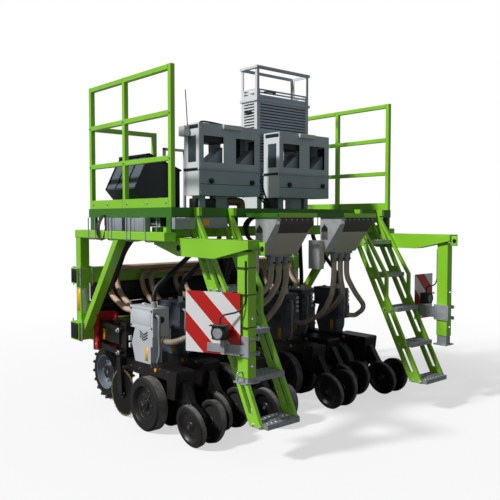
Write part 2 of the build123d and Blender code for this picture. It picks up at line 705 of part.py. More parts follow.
# Metering modules: lower skirts on pedestals with a belt and seed chutes, and upper covers with cut windows
skirts = []
covers = []
module_front = MODULE_REAR + MODULE_DEPTH
module_middle = (MODULE_REAR + module_front) / 2
sill = MODULE_SPLIT + WINDOW_SILL
for start in (-MODULE_INNER - MODULE_WIDTH, MODULE_INNER):
    end = start + MODULE_WIDTH
    skirt = stock(start, end, MODULE_REAR, module_front, MODULE_BOTTOM, MODULE_SPLIT, Axis.Z, MODULE_CORNER)
    skirt += stock(start - BELT_PROUD, end + BELT_PROUD, MODULE_REAR - BELT_PROUD, module_front + BELT_PROUD,
                   MODULE_SPLIT - BELT_HEIGHT, MODULE_SPLIT, Axis.Z, MODULE_CORNER)
    for offset, width in PEDESTALS:
        skirt += block(start + offset, start + offset + width, MODULE_REAR + PEDESTAL_SETBACK,
                       module_front - PEDESTAL_SETBACK, FLOOR_TOP, MODULE_BOTTOM)
    cover = stock(start, end, MODULE_REAR, module_front, MODULE_SPLIT, MODULE_TOP, Axis.Z, MODULE_CORNER)
    cover -= block(start + MODULE_WALL, end - MODULE_WALL, MODULE_REAR + MODULE_WALL, module_front - MODULE_WALL,
                   MODULE_SPLIT, MODULE_TOP - MODULE_WALL)
    cover -= block(start, end, SIDE_WINDOW_Y - SIDE_WINDOW_DEPTH / 2, SIDE_WINDOW_Y + SIDE_WINDOW_DEPTH / 2,
                   sill, sill + WINDOW_HEIGHT)
    for offset in WINDOW_STARTS:
        cover -= block(start + offset, start + offset + WINDOW_WIDTH, MODULE_REAR, module_front,
                       sill, sill + WINDOW_HEIGHT)
        chute_end = start + offset + CHUTE_WIDTH
        skirt += cross_plate([(start + offset, MODULE_SPLIT), (chute_end, MODULE_SPLIT),
                              (chute_end, MODULE_SPLIT + CHUTE_RISE)],
                             module_middle - CHUTE_DEPTH / 2, module_middle + CHUTE_DEPTH / 2)
    hood_x = start + HOOD_START
    cover += block(hood_x, hood_x + HOOD_WIDTH, MODULE_REAR - HOOD_PROUD, MODULE_REAR,
                   MODULE_TOP - HOOD_HEIGHT, MODULE_TOP)
    skirts.append(skirt)
    covers.append(cover)
save("module_skirts", skirts)
save("module_covers", covers)

# Tower of louvred seed trays with flared rims, and an open frame on top
tray_outer = TRAY_INNER + TRAY_WIDTH
tray_front = TRAY_REAR + TRAY_DEPTH


def tray_shell(base, top):
    """A tray's walls with the rim that flares at its top."""
    walls = block(TRAY_INNER, tray_outer, TRAY_REAR, tray_front, base, top)
    return walls + block(TRAY_INNER - RIM_PROUD, tray_outer + RIM_PROUD, TRAY_REAR - RIM_PROUD,
                         tray_front + RIM_PROUD, top - RIM_HEIGHT, top)


def louvres(base, count):
    """The slots cut through all four walls of a tray."""
    slots = []
    for n in range(count):
        z = base + LOUVRE_FIRST + n * LOUVRE_PITCH
        slots.append(block(TRAY_INNER + LOUVRE_MARGIN, tray_outer - LOUVRE_MARGIN, TRAY_REAR, tray_front,
                           z, z + LOUVRE_HEIGHT))
        slots.append(block(TRAY_INNER, tray_outer, TRAY_REAR + LOUVRE_MARGIN, tray_front - LOUVRE_MARGIN,
                           z, z + LOUVRE_HEIGHT))
    return slots


trays = []
for i in range(TRAY_COUNT):
    base = TRAY_BOTTOM + i * (TRAY_HEIGHT + TRAY_GAP)
    tray = tray_shell(base, base + TRAY_HEIGHT)
    tray -= block(TRAY_INNER + TRAY_WALL, tray_outer - TRAY_WALL, TRAY_REAR + TRAY_WALL, tray_front - TRAY_WALL,
                  base + TRAY_WALL, base + TRAY_HEIGHT)
    tray -= louvres(base, LOUVRE_COUNT)
    if i == 0:
        for x in (TRAY_INNER, tray_outer - TRAY_FOOT):
            tray += block(x, x + TRAY_FOOT, TRAY_REAR, tray_front, FLOOR_TOP, base)
    trays.append(tray)
save("seed_trays", trays)
frame_base = TRAY_BOTTOM + TRAY_COUNT * (TRAY_HEIGHT + TRAY_GAP)
tower_top = frame_base + TOP_FRAME_HEIGHT
window_bottom = frame_base + LOUVRE_FIRST + TOP_FRAME_LOUVRES * LOUVRE_PITCH
window_top = tower_top - TOP_FRAME_POST
top_frame = tray_shell(frame_base, tower_top)
top_frame -= block(TRAY_INNER + TRAY_WALL, tray_outer - TRAY_WALL, TRAY_REAR + TRAY_WALL, tray_front - TRAY_WALL,
                   frame_base, tower_top)
top_frame -= louvres(frame_base, TOP_FRAME_LOUVRES)
top_frame -= block(TRAY_INNER + TOP_FRAME_POST, tray_outer - TOP_FRAME_POST, TRAY_REAR, tray_front,
                   window_bottom, window_top)
top_frame -= block(TRAY_INNER, tray_outer, TRAY_REAR + TOP_FRAME_POST, tray_front - TOP_FRAME_POST,
                   window_bottom, window_top)
save("tray_top_frame", [top_frame])

# Storage bin with ribs on its sloping back, and a sloping lid hinged along the high edge
bin_left = -DECK_HALF + BIN_INSET
bin_right = bin_left + BIN_WIDTH
bin_front = BIN_REAR + BIN_LENGTH
knee_z = FLOOR_TOP + BIN_KNEE_RISE
back_x, back_z = bin_left + BIN_LEAN, FLOOR_TOP + BIN_BACK_RISE
front_z = FLOOR_TOP + BIN_FRONT_RISE
bin_shell = cross_plate([(bin_left + BIN_UNDERCUT, FLOOR_TOP), (bin_left, knee_z), (back_x, back_z),
                         (bin_right, front_z), (bin_right, FLOOR_TOP)], BIN_REAR, bin_front)
bin_shell -= cross_plate([(bin_left + BIN_UNDERCUT + BIN_WALL, FLOOR_TOP + BIN_WALL), (bin_left + BIN_WALL, knee_z),
                          (back_x + BIN_WALL, back_z), (back_x + BIN_WALL, back_z + BIN_WALL),
                          (bin_right - BIN_WALL, back_z + BIN_WALL), (bin_right - BIN_WALL, FLOOR_TOP + BIN_WALL)],
                         BIN_REAR + BIN_WALL, bin_front - BIN_WALL)
lean = math.atan2(BIN_LEAN, back_z - knee_z)
out_x, out_z = -math.cos(lean), math.sin(lean)
rib_step = (BIN_LENGTH - BIN_RIB_WIDTH) / (BIN_RIB_COUNT - 1)
shoulder_x, shoulder_z = back_x - BIN_LEAN / 8, back_z - (back_z - knee_z) / 8
for n in range(BIN_RIB_COUNT):
    y = BIN_REAR + n * rib_step
    bin_shell += cross_plate([(bin_left, knee_z), (shoulder_x, shoulder_z),
                              (shoulder_x + out_x * BIN_RIB_PROUD, shoulder_z + out_z * BIN_RIB_PROUD),
                              (bin_left + out_x * BIN_RIB_PROUD, knee_z + out_z * BIN_RIB_PROUD)],
                             y, y + BIN_RIB_WIDTH)
hinge_x, hinge_z = back_x + out_x * HINGE_OFFSET, back_z + out_z * HINGE_OFFSET
pin_rear, pin_front = BIN_REAR + HINGE_MARGIN, bin_front - HINGE_MARGIN
bin_shell += rod((hinge_x, pin_rear, hinge_z), (hinge_x, pin_front, hinge_z), HINGE_PIN_R)
for y in (pin_rear, pin_front - HINGE_LUG):
    bin_shell += cross_plate([(back_x, back_z), (hinge_x - out_z * HINGE_PIN_R, hinge_z - out_x * HINGE_PIN_R),
                              (hinge_x + out_x * HINGE_PIN_R, hinge_z + out_z * HINGE_PIN_R),
                              (shoulder_x, shoulder_z)], y, y + HINGE_LUG)
save("storage_bin", [bin_shell])
lid_slope = math.atan2(back_z - front_z, bin_right - back_x)
lid_length = (bin_right - back_x) / math.cos(lid_slope) + 2 * LID_OVERHANG
lid = Box(lid_length, BIN_LENGTH + 2 * LID_OVERHANG, LID_THICK, align=(Align.MIN, Align.CENTER, Align.MIN))
lid = Pos(-LID_OVERHANG, 0, LID_GAP) * lid
lid = Pos(back_x, (BIN_REAR + bin_front) / 2, back_z) * Rot(0, math.degrees(lid_slope), 0) * lid
barrel_rear, barrel_front = pin_rear + HINGE_LUG + LID_GAP, pin_front - HINGE_LUG - LID_GAP
for y0, y1 in ((BIN_REAR - LID_OVERHANG, barrel_rear), (barrel_front, bin_front + LID_OVERHANG)):
    lid -= rod((hinge_x, y0, hinge_z), (hinge_x, y1, hinge_z), HINGE_OFFSET)
lid += rod((hinge_x, barrel_rear, hinge_z), (hinge_x, barrel_front, hinge_z), HINGE_BARREL_R)
lid -= rod((hinge_x, BIN_REAR, hinge_z), (hinge_x, bin_front, hinge_z), HINGE_PIN_R + AXLE_GAP)
save("bin_lid", [lid])


def hopper_section(z, rear, cut, inset):
    """The hopper's outline at a height: straight in front, with its rear corners cut off."""
    half = HOPPER_WIDTH / 2 - inset
    front = HOPPER_FRONT - inset
    back = rear + inset
    cut_x, cut_y = cut
    outline = [(-half, front), (-half, back + cut_y), (-half + cut_x, back), (half - cut_x, back),
               (half, back + cut_y), (half, front)]
    return Plane.XY.offset(z) * Polygon(*outline, align=None)


# Seed hoppers: sheet funnels hung from the hopper frame, each with an inspection port and a side duct
hoppers = []
outlets = []
rim_cut = (HOPPER_CORNER, HOPPER_CORNER)
skins = []
for inset in (0, HOPPER_WALL):
    mouth = hopper_section(HOPPER_OUTLET_Z, HOPPER_FRONT - HOPPER_OUTLET, HOPPER_MOUTH_CUT, inset)
    funnel = loft([mouth, hopper_section(HOPPER_KNEE, HOPPER_REAR, rim_cut, inset)], ruled=True)
    funnel += extrude(hopper_section(HOPPER_KNEE, HOPPER_REAR, rim_cut, inset), amount=HOPPER_STRAIGHT)
    skins.append(funnel)
left_wall = -HOPPER_WIDTH / 2
port_front = HOPPER_FRONT - PORT_SETBACK
port_top = HOPPER_TOP - PORT_DROP
port = side_plate([(port_front, port_top - PORT_HEIGHT), (port_front, port_top - PORT_EAVES),
                   (port_front - PORT_WIDTH / 2, port_top), (port_front - PORT_WIDTH, port_top - PORT_EAVES),
                   (port_front - PORT_WIDTH, port_top - PORT_HEIGHT)],
                  left_wall, left_wall + HOPPER_WALL)
duct_rear = HOPPER_FRONT - DUCT_OVERLAP
duct_top = HOPPER_TOP - DUCT_DROP
duct = block(left_wall - DUCT_WIDTH, left_wall, duct_rear, duct_rear + DUCT_DEPTH, duct_top - DUCT_HEIGHT, duct_top)
hopper = skins[0] - skins[1] - port + duct
plate_half = OUTLET_SPREAD + OUTLET_COLLAR_R
plate_bottom = HOPPER_OUTLET_Z - OUTLET_PLATE
stub_bottom = plate_bottom - OUTLET_LENGTH
head = block(-plate_half, plate_half, OUTLET_Y - OUTLET_COLLAR_R, OUTLET_Y + OUTLET_COLLAR_R,
             plate_bottom, HOPPER_OUTLET_Z)
for n in (-1, 0, 1):
    stub = Cone(OUTLET_R, OUTLET_COLLAR_R, OUTLET_LENGTH, align=(Align.CENTER, Align.CENTER, Align.MIN))
    head += Pos(n * OUTLET_SPREAD, OUTLET_Y, stub_bottom) * stub
for side in SIDES:
    hoppers.append(Pos(side * HOPPER_X, 0, 0) * hopper)
    outlets.append(Pos(side * HOPPER_X, 0, 0) * head)
save("seed_hoppers", hoppers)
save("hopper_outlets", outlets)

# Seed tubes from the hopper outlets to the meter housings
entry_z = HOUSING_TOP - TUBE_ENTRY_DROP
tubes = []
for i, (row, ahead) in enumerate(ROW_UNITS):
    bank, n = divmod(i, BANK_ROWS)
    x0 = SIDES[bank] * HOPPER_X + (n - 1) * OUTLET_SPREAD
    x1 = row + HOUSING_SHIFT
    run = (x1 - x0) / 4
    rear = HOUSING_REAR + ahead
    tubes.append(hose([(x0, OUTLET_Y, stub_bottom), (x0, OUTLET_Y, stub_bottom - TUBE_DROP),
                       (x0 + run, OUTLET_Y + TUBE_KNEE_REACH, stub_bottom - TUBE_KNEE_DROP),
                       (x1 - run, rear - TUBE_REACH, entry_z + TUBE_RISE),
                       (x1, rear - TUBE_LEAD, entry_z), (x1, rear, entry_z)], TUBE_R))
save("seed_tubes", tubes)

# Air fan on the upper toolbar, and the chest under it
fan_y = UPPER_REAR - FAN_SETBACK - FAN_R
fan_z = UPPER_Z + FAN_LIFT
fan_left, fan_right = FAN_X - FAN_WIDTH / 2, FAN_X + FAN_WIDTH / 2
chest = stock(-CHEST_HALF, CHEST_HALF, UPPER_REAR, UPPER_REAR + CHEST_DEPTH, UPPER_BOTTOM - CHEST_HEIGHT,
              UPPER_BOTTOM, Axis.X, CHEST_ROUND)
fan = rod((fan_left, fan_y, fan_z), (fan_right, fan_y, fan_z), FAN_R)
fan += rod((fan_left - FAN_INLET_DEPTH, fan_y, fan_z), (fan_left, fan_y, fan_z), FAN_INLET_R)
fan += block(fan_left, fan_right, fan_y, UPPER_REAR, UPPER_BOTTOM, UPPER_TOP)
save("air_fan", [fan, chest])

# Air hoses: two from each control box, up to the toolbar and along its rear face to the fan
hose_z = BOX_TOP - HOSE_ENTRY_DROP
air_hoses = []
for i, (row, ahead) in enumerate(ROW_UNITS):
    bank, n = divmod(i, BANK_ROWS)
    lane_z = UPPER_BOTTOM + LANE_LIFT + LANE_PITCH * (BANK_ROWS - 1 - n if bank == 0 else n)
    for side in SIDES:
        layer = 0 if side == SIDES[bank] else 1
        x = row + HOUSING_SHIFT + side * HOSE_PAIR
        lane_y = UPPER_REAR - TUBE_R - LANE_GAP - layer * LANE_PITCH
        front = BOX_FRONT + ahead
        rise = (lane_z - hose_z) / 3
        step = (lane_y - front) / 3
        air_hoses.append(hose([(x, front, hose_z), (x, front + step, hose_z),
                               (x, lane_y - step / 2, hose_z + rise), (x, lane_y, lane_z),
                               (FAN_X + SIDES[bank] * FAN_WIDTH / 2, lane_y, lane_z)], TUBE_R))
save("air_hoses", air_hoses)

# Feed tubes through the platform into the control boxes
feed_top = FLOOR_TOP - FLOOR_THICK
feeds = []
for i, (row, ahead) in enumerate(ROW_UNITS):
    bank, n = divmod(i, BANK_ROWS)
    x0 = SIDES[bank] * (FEED_FIRST + FEED_STEP * (BANK_ROWS - 1 - n if bank == 0 else n))
    x1 = row + HOUSING_SHIFT - HOUSING_HALF + FEED_INSET
    y1 = BOX_REAR + ahead + FEED_INSET
    feeds.append(hose([(x0, FEED_Y, feed_top), (x0, FEED_Y, feed_top - FEED_DROP),
                       (x1, y1, BOX_TOP + FEED_LEAD), (x1, y1, BOX_TOP)], FEED_R))

# Control boxes under the platform's left edge
deck_box_x = -DECK_HALF + DECK_CHANNEL
deck_boxes = []
for start, length in zip(DECK_BOX_STARTS, DECK_BOX_LENGTHS):
    deck_boxes.append(stock(deck_box_x, deck_box_x + DECK_BOX_DEPTH, start, start + length,
                            DECK_BOTTOM - DECK_BOX_HEIGHT, DECK_BOTTOM, Axis.Z, TUBE_CORNER))
save("deck_boxes", deck_boxes)

# Row units: cast head brackets with two lobes on the lower toolbar, parallel links and the air spring between them
flange_in = HEAD_HALF - HEAD_FLANGE
link_out = flange_in - LINK_SIDE_GAP
head_middle = (LINK_UPPER_Z + LINK_LOWER_Z) / 2
flange_outline = [(TOOLBAR_REAR, HEAD_BOTTOM), (TOOLBAR_REAR, HEAD_TOP), (HEAD_WAIST_Y, HEAD_TOP),
                  (HEAD_NOSE_Y, LINK_UPPER_Z + HEAD_LOBE / 2), (HEAD_NOSE_Y, LINK_UPPER_Z - HEAD_LOBE / 2),
                  (HEAD_WAIST_Y, head_middle), (HEAD_NOSE_Y, LINK_LOWER_Z + HEAD_LOBE / 2),
                  (HEAD_NOSE_Y, LINK_LOWER_Z - HEAD_LOBE / 2), (HEAD_WAIST_Y, HEAD_BOTTOM)]
coulter_z = COULTER_R + COULTER_GROUND_GAP
heads = []
links = []
frames = []
housings = []
boxes = []
for row, ahead in ROW_UNITS:
    rear_pin_y = LINK_HEAD_Y - LINK_LENGTH + ahead
    mast_rear, mast_front = rear_pin_y - MAST_DEPTH, rear_pin_y + MAST_NOSE
    disc_y = COULTER_Y + ahead
    gauge_y = GAUGE_Y + ahead
    head = block(row - HEAD_HALF, row + HEAD_HALF, TOOLBAR_REAR - HEAD_BACK, TOOLBAR_REAR, HEAD_BOTTOM, HEAD_TOP)
    for side in SIDES:
        head += side_plate(flange_outline, row + side * flange_in, row + side * HEAD_HALF, HEAD_ROUND)
    for z in (LINK_UPPER_Z, LINK_LOWER_Z):
        head -= rod((row - HEAD_HALF, LINK_HEAD_Y, z), (row + HEAD_HALF, LINK_HEAD_Y, z), LINK_PIN_R + AXLE_GAP)
        pins = ((LINK_HEAD_Y, z), (rear_pin_y, z - LINK_DROP))
        link = rod((row - HEAD_HALF, *pins[0]), (row + HEAD_HALF, *pins[0]), LINK_PIN_R)
        link += rod((row - HEAD_HALF, *pins[1]), (row + HEAD_HALF, *pins[1]), LINK_PIN_R)
        for side in SIDES:
            x = row + side * (link_out - LINK_BAR / 2)
            link += bar((x, *pins[0]), (x, *pins[1]), LINK_BAR, LINK_HEIGHT)
            for pin in pins:
                link += rod((x - LINK_BAR / 2, *pin), (x + LINK_BAR / 2, *pin), LINK_HEIGHT / 2)
        links.append(link)
    heads.append(head)

    # Row frame: mast with link pins, spine, shank between the opener discs, coulter arm and axles
    frame = block(row - BODY_HALF, row + BODY_HALF, BODY_REAR + ahead, mast_rear, BODY_BOTTOM, BODY_TOP)
    frame += block(row - BODY_HALF, row + BODY_HALF, mast_rear, mast_front, BODY_BOTTOM, LINK_UPPER_Z + MAST_CROWN)
    for z in (LINK_UPPER_Z - LINK_DROP, LINK_LOWER_Z - LINK_DROP):
        frame -= rod((row - BODY_HALF, rear_pin_y, z), (row + BODY_HALF, rear_pin_y, z), LINK_PIN_R + AXLE_GAP)
    frame += rod((row, mast_front, SPRING_Z), (row, TOOLBAR_REAR - HEAD_BACK, SPRING_Z), SPRING_R)
    frame += stock(row - DRIVE_HALF, row + DRIVE_HALF, mast_front, HEAD_NOSE_Y, DRIVE_BOTTOM, DRIVE_TOP,
                   Axis.Y, DRIVE_ROUND)
    shank_rear, shank_front = gauge_y - SHANK_REACH, gauge_y + SHANK_REACH
    frame += side_plate([(shank_rear, BODY_BOTTOM), (shank_front, BODY_BOTTOM),
                         (shank_front - SHANK_TAPER, SHANK_TOE + SHANK_RISE), (shank_rear, SHANK_TOE)],
                        row - SHANK_HALF, row + SHANK_HALF)
    arm_right = row + COULTER_OFFSET - COULTER_ARM_GAP
    arm_left = arm_right - COULTER_ARM_THICK
    frame += side_plate([(mast_rear, COULTER_ARM_TOP), (rear_pin_y, COULTER_ARM_TOP),
                         (disc_y + COULTER_EYE_R, coulter_z), (disc_y, coulter_z - COULTER_EYE_R),
                         (disc_y - COULTER_EYE_R, coulter_z)], arm_left, arm_right)
    frame += block(arm_left, row, mast_rear, rear_pin_y, BODY_BOTTOM + COULTER_ARM_SEAT, COULTER_ARM_TOP)
    coulter_end = row + COULTER_OFFSET + DISC_HUB_HALF
    frame += rod((arm_left, disc_y, coulter_z), (coulter_end, disc_y, coulter_z), AXLE_R)
    axle_half = 2 * OPENER_OFFSET
    frame += rod((row - axle_half, gauge_y, GAUGE_R), (row + axle_half, gauge_y, GAUGE_R), AXLE_R)
    frames.append(frame)

    # Meter housing: a wide upper casing over a slim lower one, with the control box and its apron above
    left = row + HOUSING_SHIFT - HOUSING_HALF
    upper = side_plate([(HOUSING_REAR, HOUSING_TOP), (HOUSING_REAR, HOUSING_STEP), (HOUSING_BULGE, HOUSING_STEP),
                        (HOUSING_FRONT, HOUSING_TOP)], left, left + 2 * HOUSING_HALF)
    lower = side_plate([(HOUSING_HEEL, HOUSING_STEP), (HOUSING_HEEL, HOUSING_BOTTOM), (HOUSING_FRONT, BODY_TOP),
                        (HOUSING_BULGE, HOUSING_STEP)], left, row + HOUSING_SHIFT + HOUSING_LOWER_RIGHT)
    housings.append(Pos(0, ahead, 0) * (upper + lower))
    box_right = row + HOUSING_SHIFT + BOX_RIGHT
    box = stock(left, box_right, BOX_REAR, BOX_FRONT, HOUSING_TOP, BOX_TOP, Axis.Z, TUBE_CORNER)
    box += block(left, box_right, BOX_REAR - BOX_SHEET, BOX_REAR, BOX_APRON, BOX_TOP)
    boxes.append(Pos(0, ahead, 0) * box)
save("head_brackets", heads)
save("parallel_links", links)
save("row_frames", frames)
save("meter_housings", housings)
save("control_boxes", boxes)

# Gauge wheel arms under the row frames, each with its stub axle
gauge_arm_in = GAUGE_OFFSET - GAUGE_WIDTH / 2 - GAUGE_ARM_GAP - GAUGE_ARM_THICK
gauge_axle = GAUGE_OFFSET + GAUGE_WIDTH / 3
root_rear, root_front = GAUGE_ARM_ROOT
gauge_outline = [(GAUGE_Y - GAUGE_EYE_R, GAUGE_R), (GAUGE_Y, GAUGE_R - GAUGE_EYE_R),
                 (GAUGE_Y + GAUGE_EYE_R, GAUGE_R), (GAUGE_Y + root_front, BODY_BOTTOM),
                 (GAUGE_Y + root_rear, BODY_BOTTOM)]
gauge_arms = []
for row, ahead in ROW_UNITS:
    for side in SIDES:
        inner = row + side * gauge_arm_in
        gauge_arm = side_plate(gauge_outline, inner, inner + side * GAUGE_ARM_THICK)
        gauge_arm += rod((inner, GAUGE_Y, GAUGE_R), (row + side * gauge_axle, GAUGE_Y, GAUGE_R), AXLE_R)
        gauge_arms.append(Pos(0, ahead, 0) * gauge_arm)
save("gauge_arms", gauge_arms)

# Closing frames: a rounded rear box over the gauge wheels, a tail and two cambered stub axles
camber = math.radians(CLOSING_CAMBER)
closing_z = CLOSING_R * math.cos(camber) + CLOSING_WIDTH / 2 * math.sin(camber)
step_y = GAUGE_Y - GAUGE_R - WHEEL_CLEARANCE
rear_box_outline = [(BODY_REAR, REAR_BOX_TOP), (BODY_REAR, REAR_BOX_SHELF), (step_y, REAR_BOX_SHELF),
                    (step_y, REAR_BOX_BOTTOM), (REAR_BOX_REAR + REAR_BOX_RAKE, REAR_BOX_BOTTOM),
                    (REAR_BOX_REAR, REAR_BOX_TOP)]
tail_outline = [(step_y, REAR_BOX_SHELF), (step_y, REAR_BOX_BOTTOM),
                *[(CLOSING_Y + dy, closing_z + dz) for dy, dz in TAIL_CORNERS], (REAR_BOX_REAR, REAR_BOX_SHELF)]
tails = []
for row, ahead in ROW_UNITS:
    tail = side_plate(rear_box_outline, row - REAR_BOX_HALF, row + REAR_BOX_HALF)
    tail = fillet(tail.edges().filter_by(Axis.X).sort_by(Axis.Y)[:2], REAR_BOX_ROUND)
    tail += side_plate(tail_outline, row - TAIL_HALF, row + TAIL_HALF)
    for side in SIDES:
        reach = CLOSING_WIDTH / 3
        rise = math.tan(camber)
        tail += rod((row, CLOSING_Y, closing_z + CLOSING_OFFSET * rise),
                    (row + side * (CLOSING_OFFSET + reach), CLOSING_Y, closing_z - reach * rise), AXLE_R)
    tails.append(Pos(0, ahead, 0) * tail)
save("closing_frames", tails)

# Carrier wheel legs: clamp plate under the lower toolbar, leg plate inboard of the tyre and stub axle
fork_out = CARRIER_X - CARRIER_WIDTH / 2 - FORK_GAP
fork_in = fork_out - FORK_THICK
fork = side_plate([(TOOLBAR_REAR + FORK_CLAMP, TOOLBAR_BOTTOM), (TOOLBAR_FRONT - FORK_CLAMP, TOOLBAR_BOTTOM),
                   (CARRIER_Y + FORK_FOOT, CARRIER_R - 2 * CARRIER_AXLE_R),
                   (CARRIER_Y - FORK_FOOT, CARRIER_R - 2 * CARRIER_AXLE_R)], fork_in, fork_out)
fork += block(fork_in - FORK_FOOT, fork_out + FORK_FOOT, TOOLBAR_REAR, TOOLBAR_FRONT,
              TOOLBAR_BOTTOM - FORK_CLAMP, TOOLBAR_BOTTOM)
fork += rod((fork_in, CARRIER_Y, CARRIER_R), (CARRIER_X + CARRIER_WIDTH / 3, CARRIER_Y, CARRIER_R), CARRIER_AXLE_R)
save("wheel_legs", both_sides(fork))

# Brackets clamped on the support legs: plates, threaded rods, an arm to each panel and a work lamp
low, high = CLAMP_LEVELS
brackets = []
cables = []
for (x, y, turn, width, z), side in zip(PANELS, SIDES):
    near, far = side * LEG_X - LEG_WIDTH / 2, side * LEG_X + LEG_WIDTH / 2
    clamp_rear, clamp_front = leg_y0 - CLAMP_MARGIN, leg_y1 + CLAMP_MARGIN
    clamp = block(near - CLAMP_PLATE, near, clamp_rear, clamp_front, low - CLAMP_MARGIN, high + CLAMP_MARGIN)
    for level in CLAMP_LEVELS:
        strap_bottom = level - CLAMP_STRAP / 2
        clamp += block(far, far + CLAMP_PLATE, clamp_rear, clamp_front, strap_bottom, strap_bottom + CLAMP_STRAP)
        for rod_y in (leg_y0 - CLAMP_ROD_R - 1, leg_y1 + CLAMP_ROD_R + 1):
            clamp += rod((near - CLAMP_PLATE, rod_y, level), (far + 2 * CLAMP_PLATE, rod_y, level), CLAMP_ROD_R)
    if turn:
        face = PANEL_THICK / 2
        arm_plate = block(-BRACKET_REACH / 6, BRACKET_REACH, face, face + BRACKET_SHEET, low, low + BRACKET_HEIGHT)
        stem_x = LAMP_OFFSET
        lamp_z = low + LAMP_RISE
        arm_plate += block(stem_x - LAMP_STEM / 2, stem_x + LAMP_STEM / 2, face, face + LAMP_R, low, lamp_z)
        arm_plate += rod((stem_x, face + LAMP_STEM, lamp_z), (stem_x, face + LAMP_STEM + LAMP_LENGTH, lamp_z), LAMP_R)
        clamp += Pos(x, y, 0) * Rot(0, 0, turn) * arm_plate
        lamp_place = Pos(x, y, 0) * Rot(0, 0, turn) * Pos(stem_x, face + LAMP_STEM + LAMP_LENGTH / 2, lamp_z + LAMP_R)
        cable_x, cable_y = near - CABLE_R, leg_y0 + CABLE_INSET
    else:
        face = y - PANEL_THICK / 2
        stem_x = near + BRACKET_HEIGHT
        lamp_z = high + BRACKET_HEIGHT
        clamp += block(near - CLAMP_PLATE, near, leg_y1, face, low, high)
        clamp += block(near - CLAMP_PLATE, near + 2 * BRACKET_HEIGHT, face - BRACKET_SHEET, face, low, high)
        clamp += block(stem_x - LAMP_STEM / 2, stem_x + LAMP_STEM / 2, face - LAMP_R, face, high - LAMP_STEM, lamp_z)
        clamp += rod((stem_x, face - LAMP_STEM - LAMP_LENGTH, lamp_z), (stem_x, face - LAMP_STEM, lamp_z), LAMP_R)
        lamp_place = Pos(stem_x, face - LAMP_STEM - LAMP_LENGTH / 2, lamp_z + LAMP_R)
        cable_x, cable_y = near + CABLE_INSET, leg_y1 + CABLE_R
    brackets.append(clamp)

    # Cable from the support arm down its leg to the lamp
    cable_top = ARM_TOP - ARM_DEPTH
    lamp_x, lamp_y, lamp_top = lamp_place.position
    cables.append(hose([(cable_x, cable_y, cable_top), (cable_x, cable_y, cable_top - CABLE_DROP),
                        (lamp_x, lamp_y, lamp_top + CABLE_LEAD), (lamp_x, lamp_y, lamp_top)], CABLE_R))
save("panel_brackets", brackets)
save("feed_lines", feeds + cables)


def turned(profile):
    """A wheel turned about its own axis, which lies along X."""
    return revolve(Plane.XY * Polygon(*profile, align=None), axis=Axis.X)


def wheel_profile(radius, width, rim_r, hub_r, bore_r, web, shoulder):
    """Half section of a plain wheel: tread, shoulders, dished web and bored hub."""
    half = width / 2
    hub = half - HUB_INSET
    flare = rim_r + RIM_FLARE
    return [(-hub, bore_r), (-hub, hub_r), (-web, hub_r), (-web, rim_r), (-half, flare),
            (-half, radius - shoulder), (-half + shoulder, radius), (half - shoulder, radius),
            (half, radius - shoulder), (half, flare), (web, rim_r), (web, hub_r), (hub, hub_r), (hub, bore_r)]


# Gauge wheels with the twin opener discs between them, which turn on one axle line
bore_r = AXLE_R + AXLE_GAP
gauge = turned(wheel_profile(GAUGE_R, GAUGE_WIDTH, GAUGE_RIM_R, GAUGE_HUB_R, bore_r, GAUGE_WEB, GAUGE_SHOULDER))
disc_in, disc_out = OPENER_OFFSET - OPENER_THICK / 2, OPENER_OFFSET + OPENER_THICK / 2
opener = turned([(disc_in, bore_r), (disc_in, OPENER_R - DISC_BEVEL), (OPENER_OFFSET, OPENER_R),
                 (disc_out, OPENER_R - DISC_BEVEL), (disc_out, DISC_HUB_R), (2 * OPENER_OFFSET, DISC_HUB_R),
                 (2 * OPENER_OFFSET, bore_r)])
gang = both_sides(opener) + [Pos(side * GAUGE_OFFSET, 0, 0) * gauge for side in SIDES]
for i, (row, ahead) in enumerate(ROW_UNITS, 1):
    save(f"gauge_gang_{i}", [Pos(row, GAUGE_Y + ahead, GAUGE_R) * wheel for wheel in gang])

# Closing wheels, set in a V that opens upwards
closing = turned(wheel_profile(CLOSING_R, CLOSING_WIDTH, CLOSING_RIM_R, CLOSING_HUB_R, bore_r, CLOSING_WEB,
                               CLOSING_SHOULDER))
for i, (row, ahead) in enumerate(ROW_UNITS, 1):
    for side, name in zip(SIDES, ("left", "right")):
        place = Pos(row + side * CLOSING_OFFSET, CLOSING_Y + ahead, closing_z)
        save(f"closing_wheel_{i}_{name}", [place * Rot(0, side * CLOSING_CAMBER, 0) * closing])

# Carrier wheels with chevron lugs
carcass_r = CARRIER_R - TREAD_LUG_HEIGHT
carrier = turned(wheel_profile(carcass_r, CARRIER_WIDTH - 2 * TREAD_LUG_PROUD, CARRIER_RIM_R, CARRIER_HUB_R,
                               CARRIER_AXLE_R + AXLE_GAP, CARRIER_WEB, CARRIER_SHOULDER))
lugs = []
for n in range(LUG_COUNT):
    for side in SIDES:
        turn = (n + (side + 1) / 4) * 360 / LUG_COUNT
        lug = Rot(0, 0, side * TREAD_LUG_ANGLE) * Box(TREAD_LUG_LENGTH, TREAD_LUG_WIDTH, 2 * TREAD_LUG_HEIGHT)
        lugs.append(Rot(turn, 0, 0) * Pos(side * CARRIER_WIDTH / 4, 0, -carcass_r) * lug)
tip = rod((-CARRIER_WIDTH / 2, 0, 0), (CARRIER_WIDTH / 2, 0, 0), CARRIER_R)
carrier += [lug & tip for lug in lugs]
for side, name in zip(SIDES, ("left", "right")):
    save(f"carrier_wheel_{name}", [Pos(side * CARRIER_X, CARRIER_Y, CARRIER_R) * carrier])

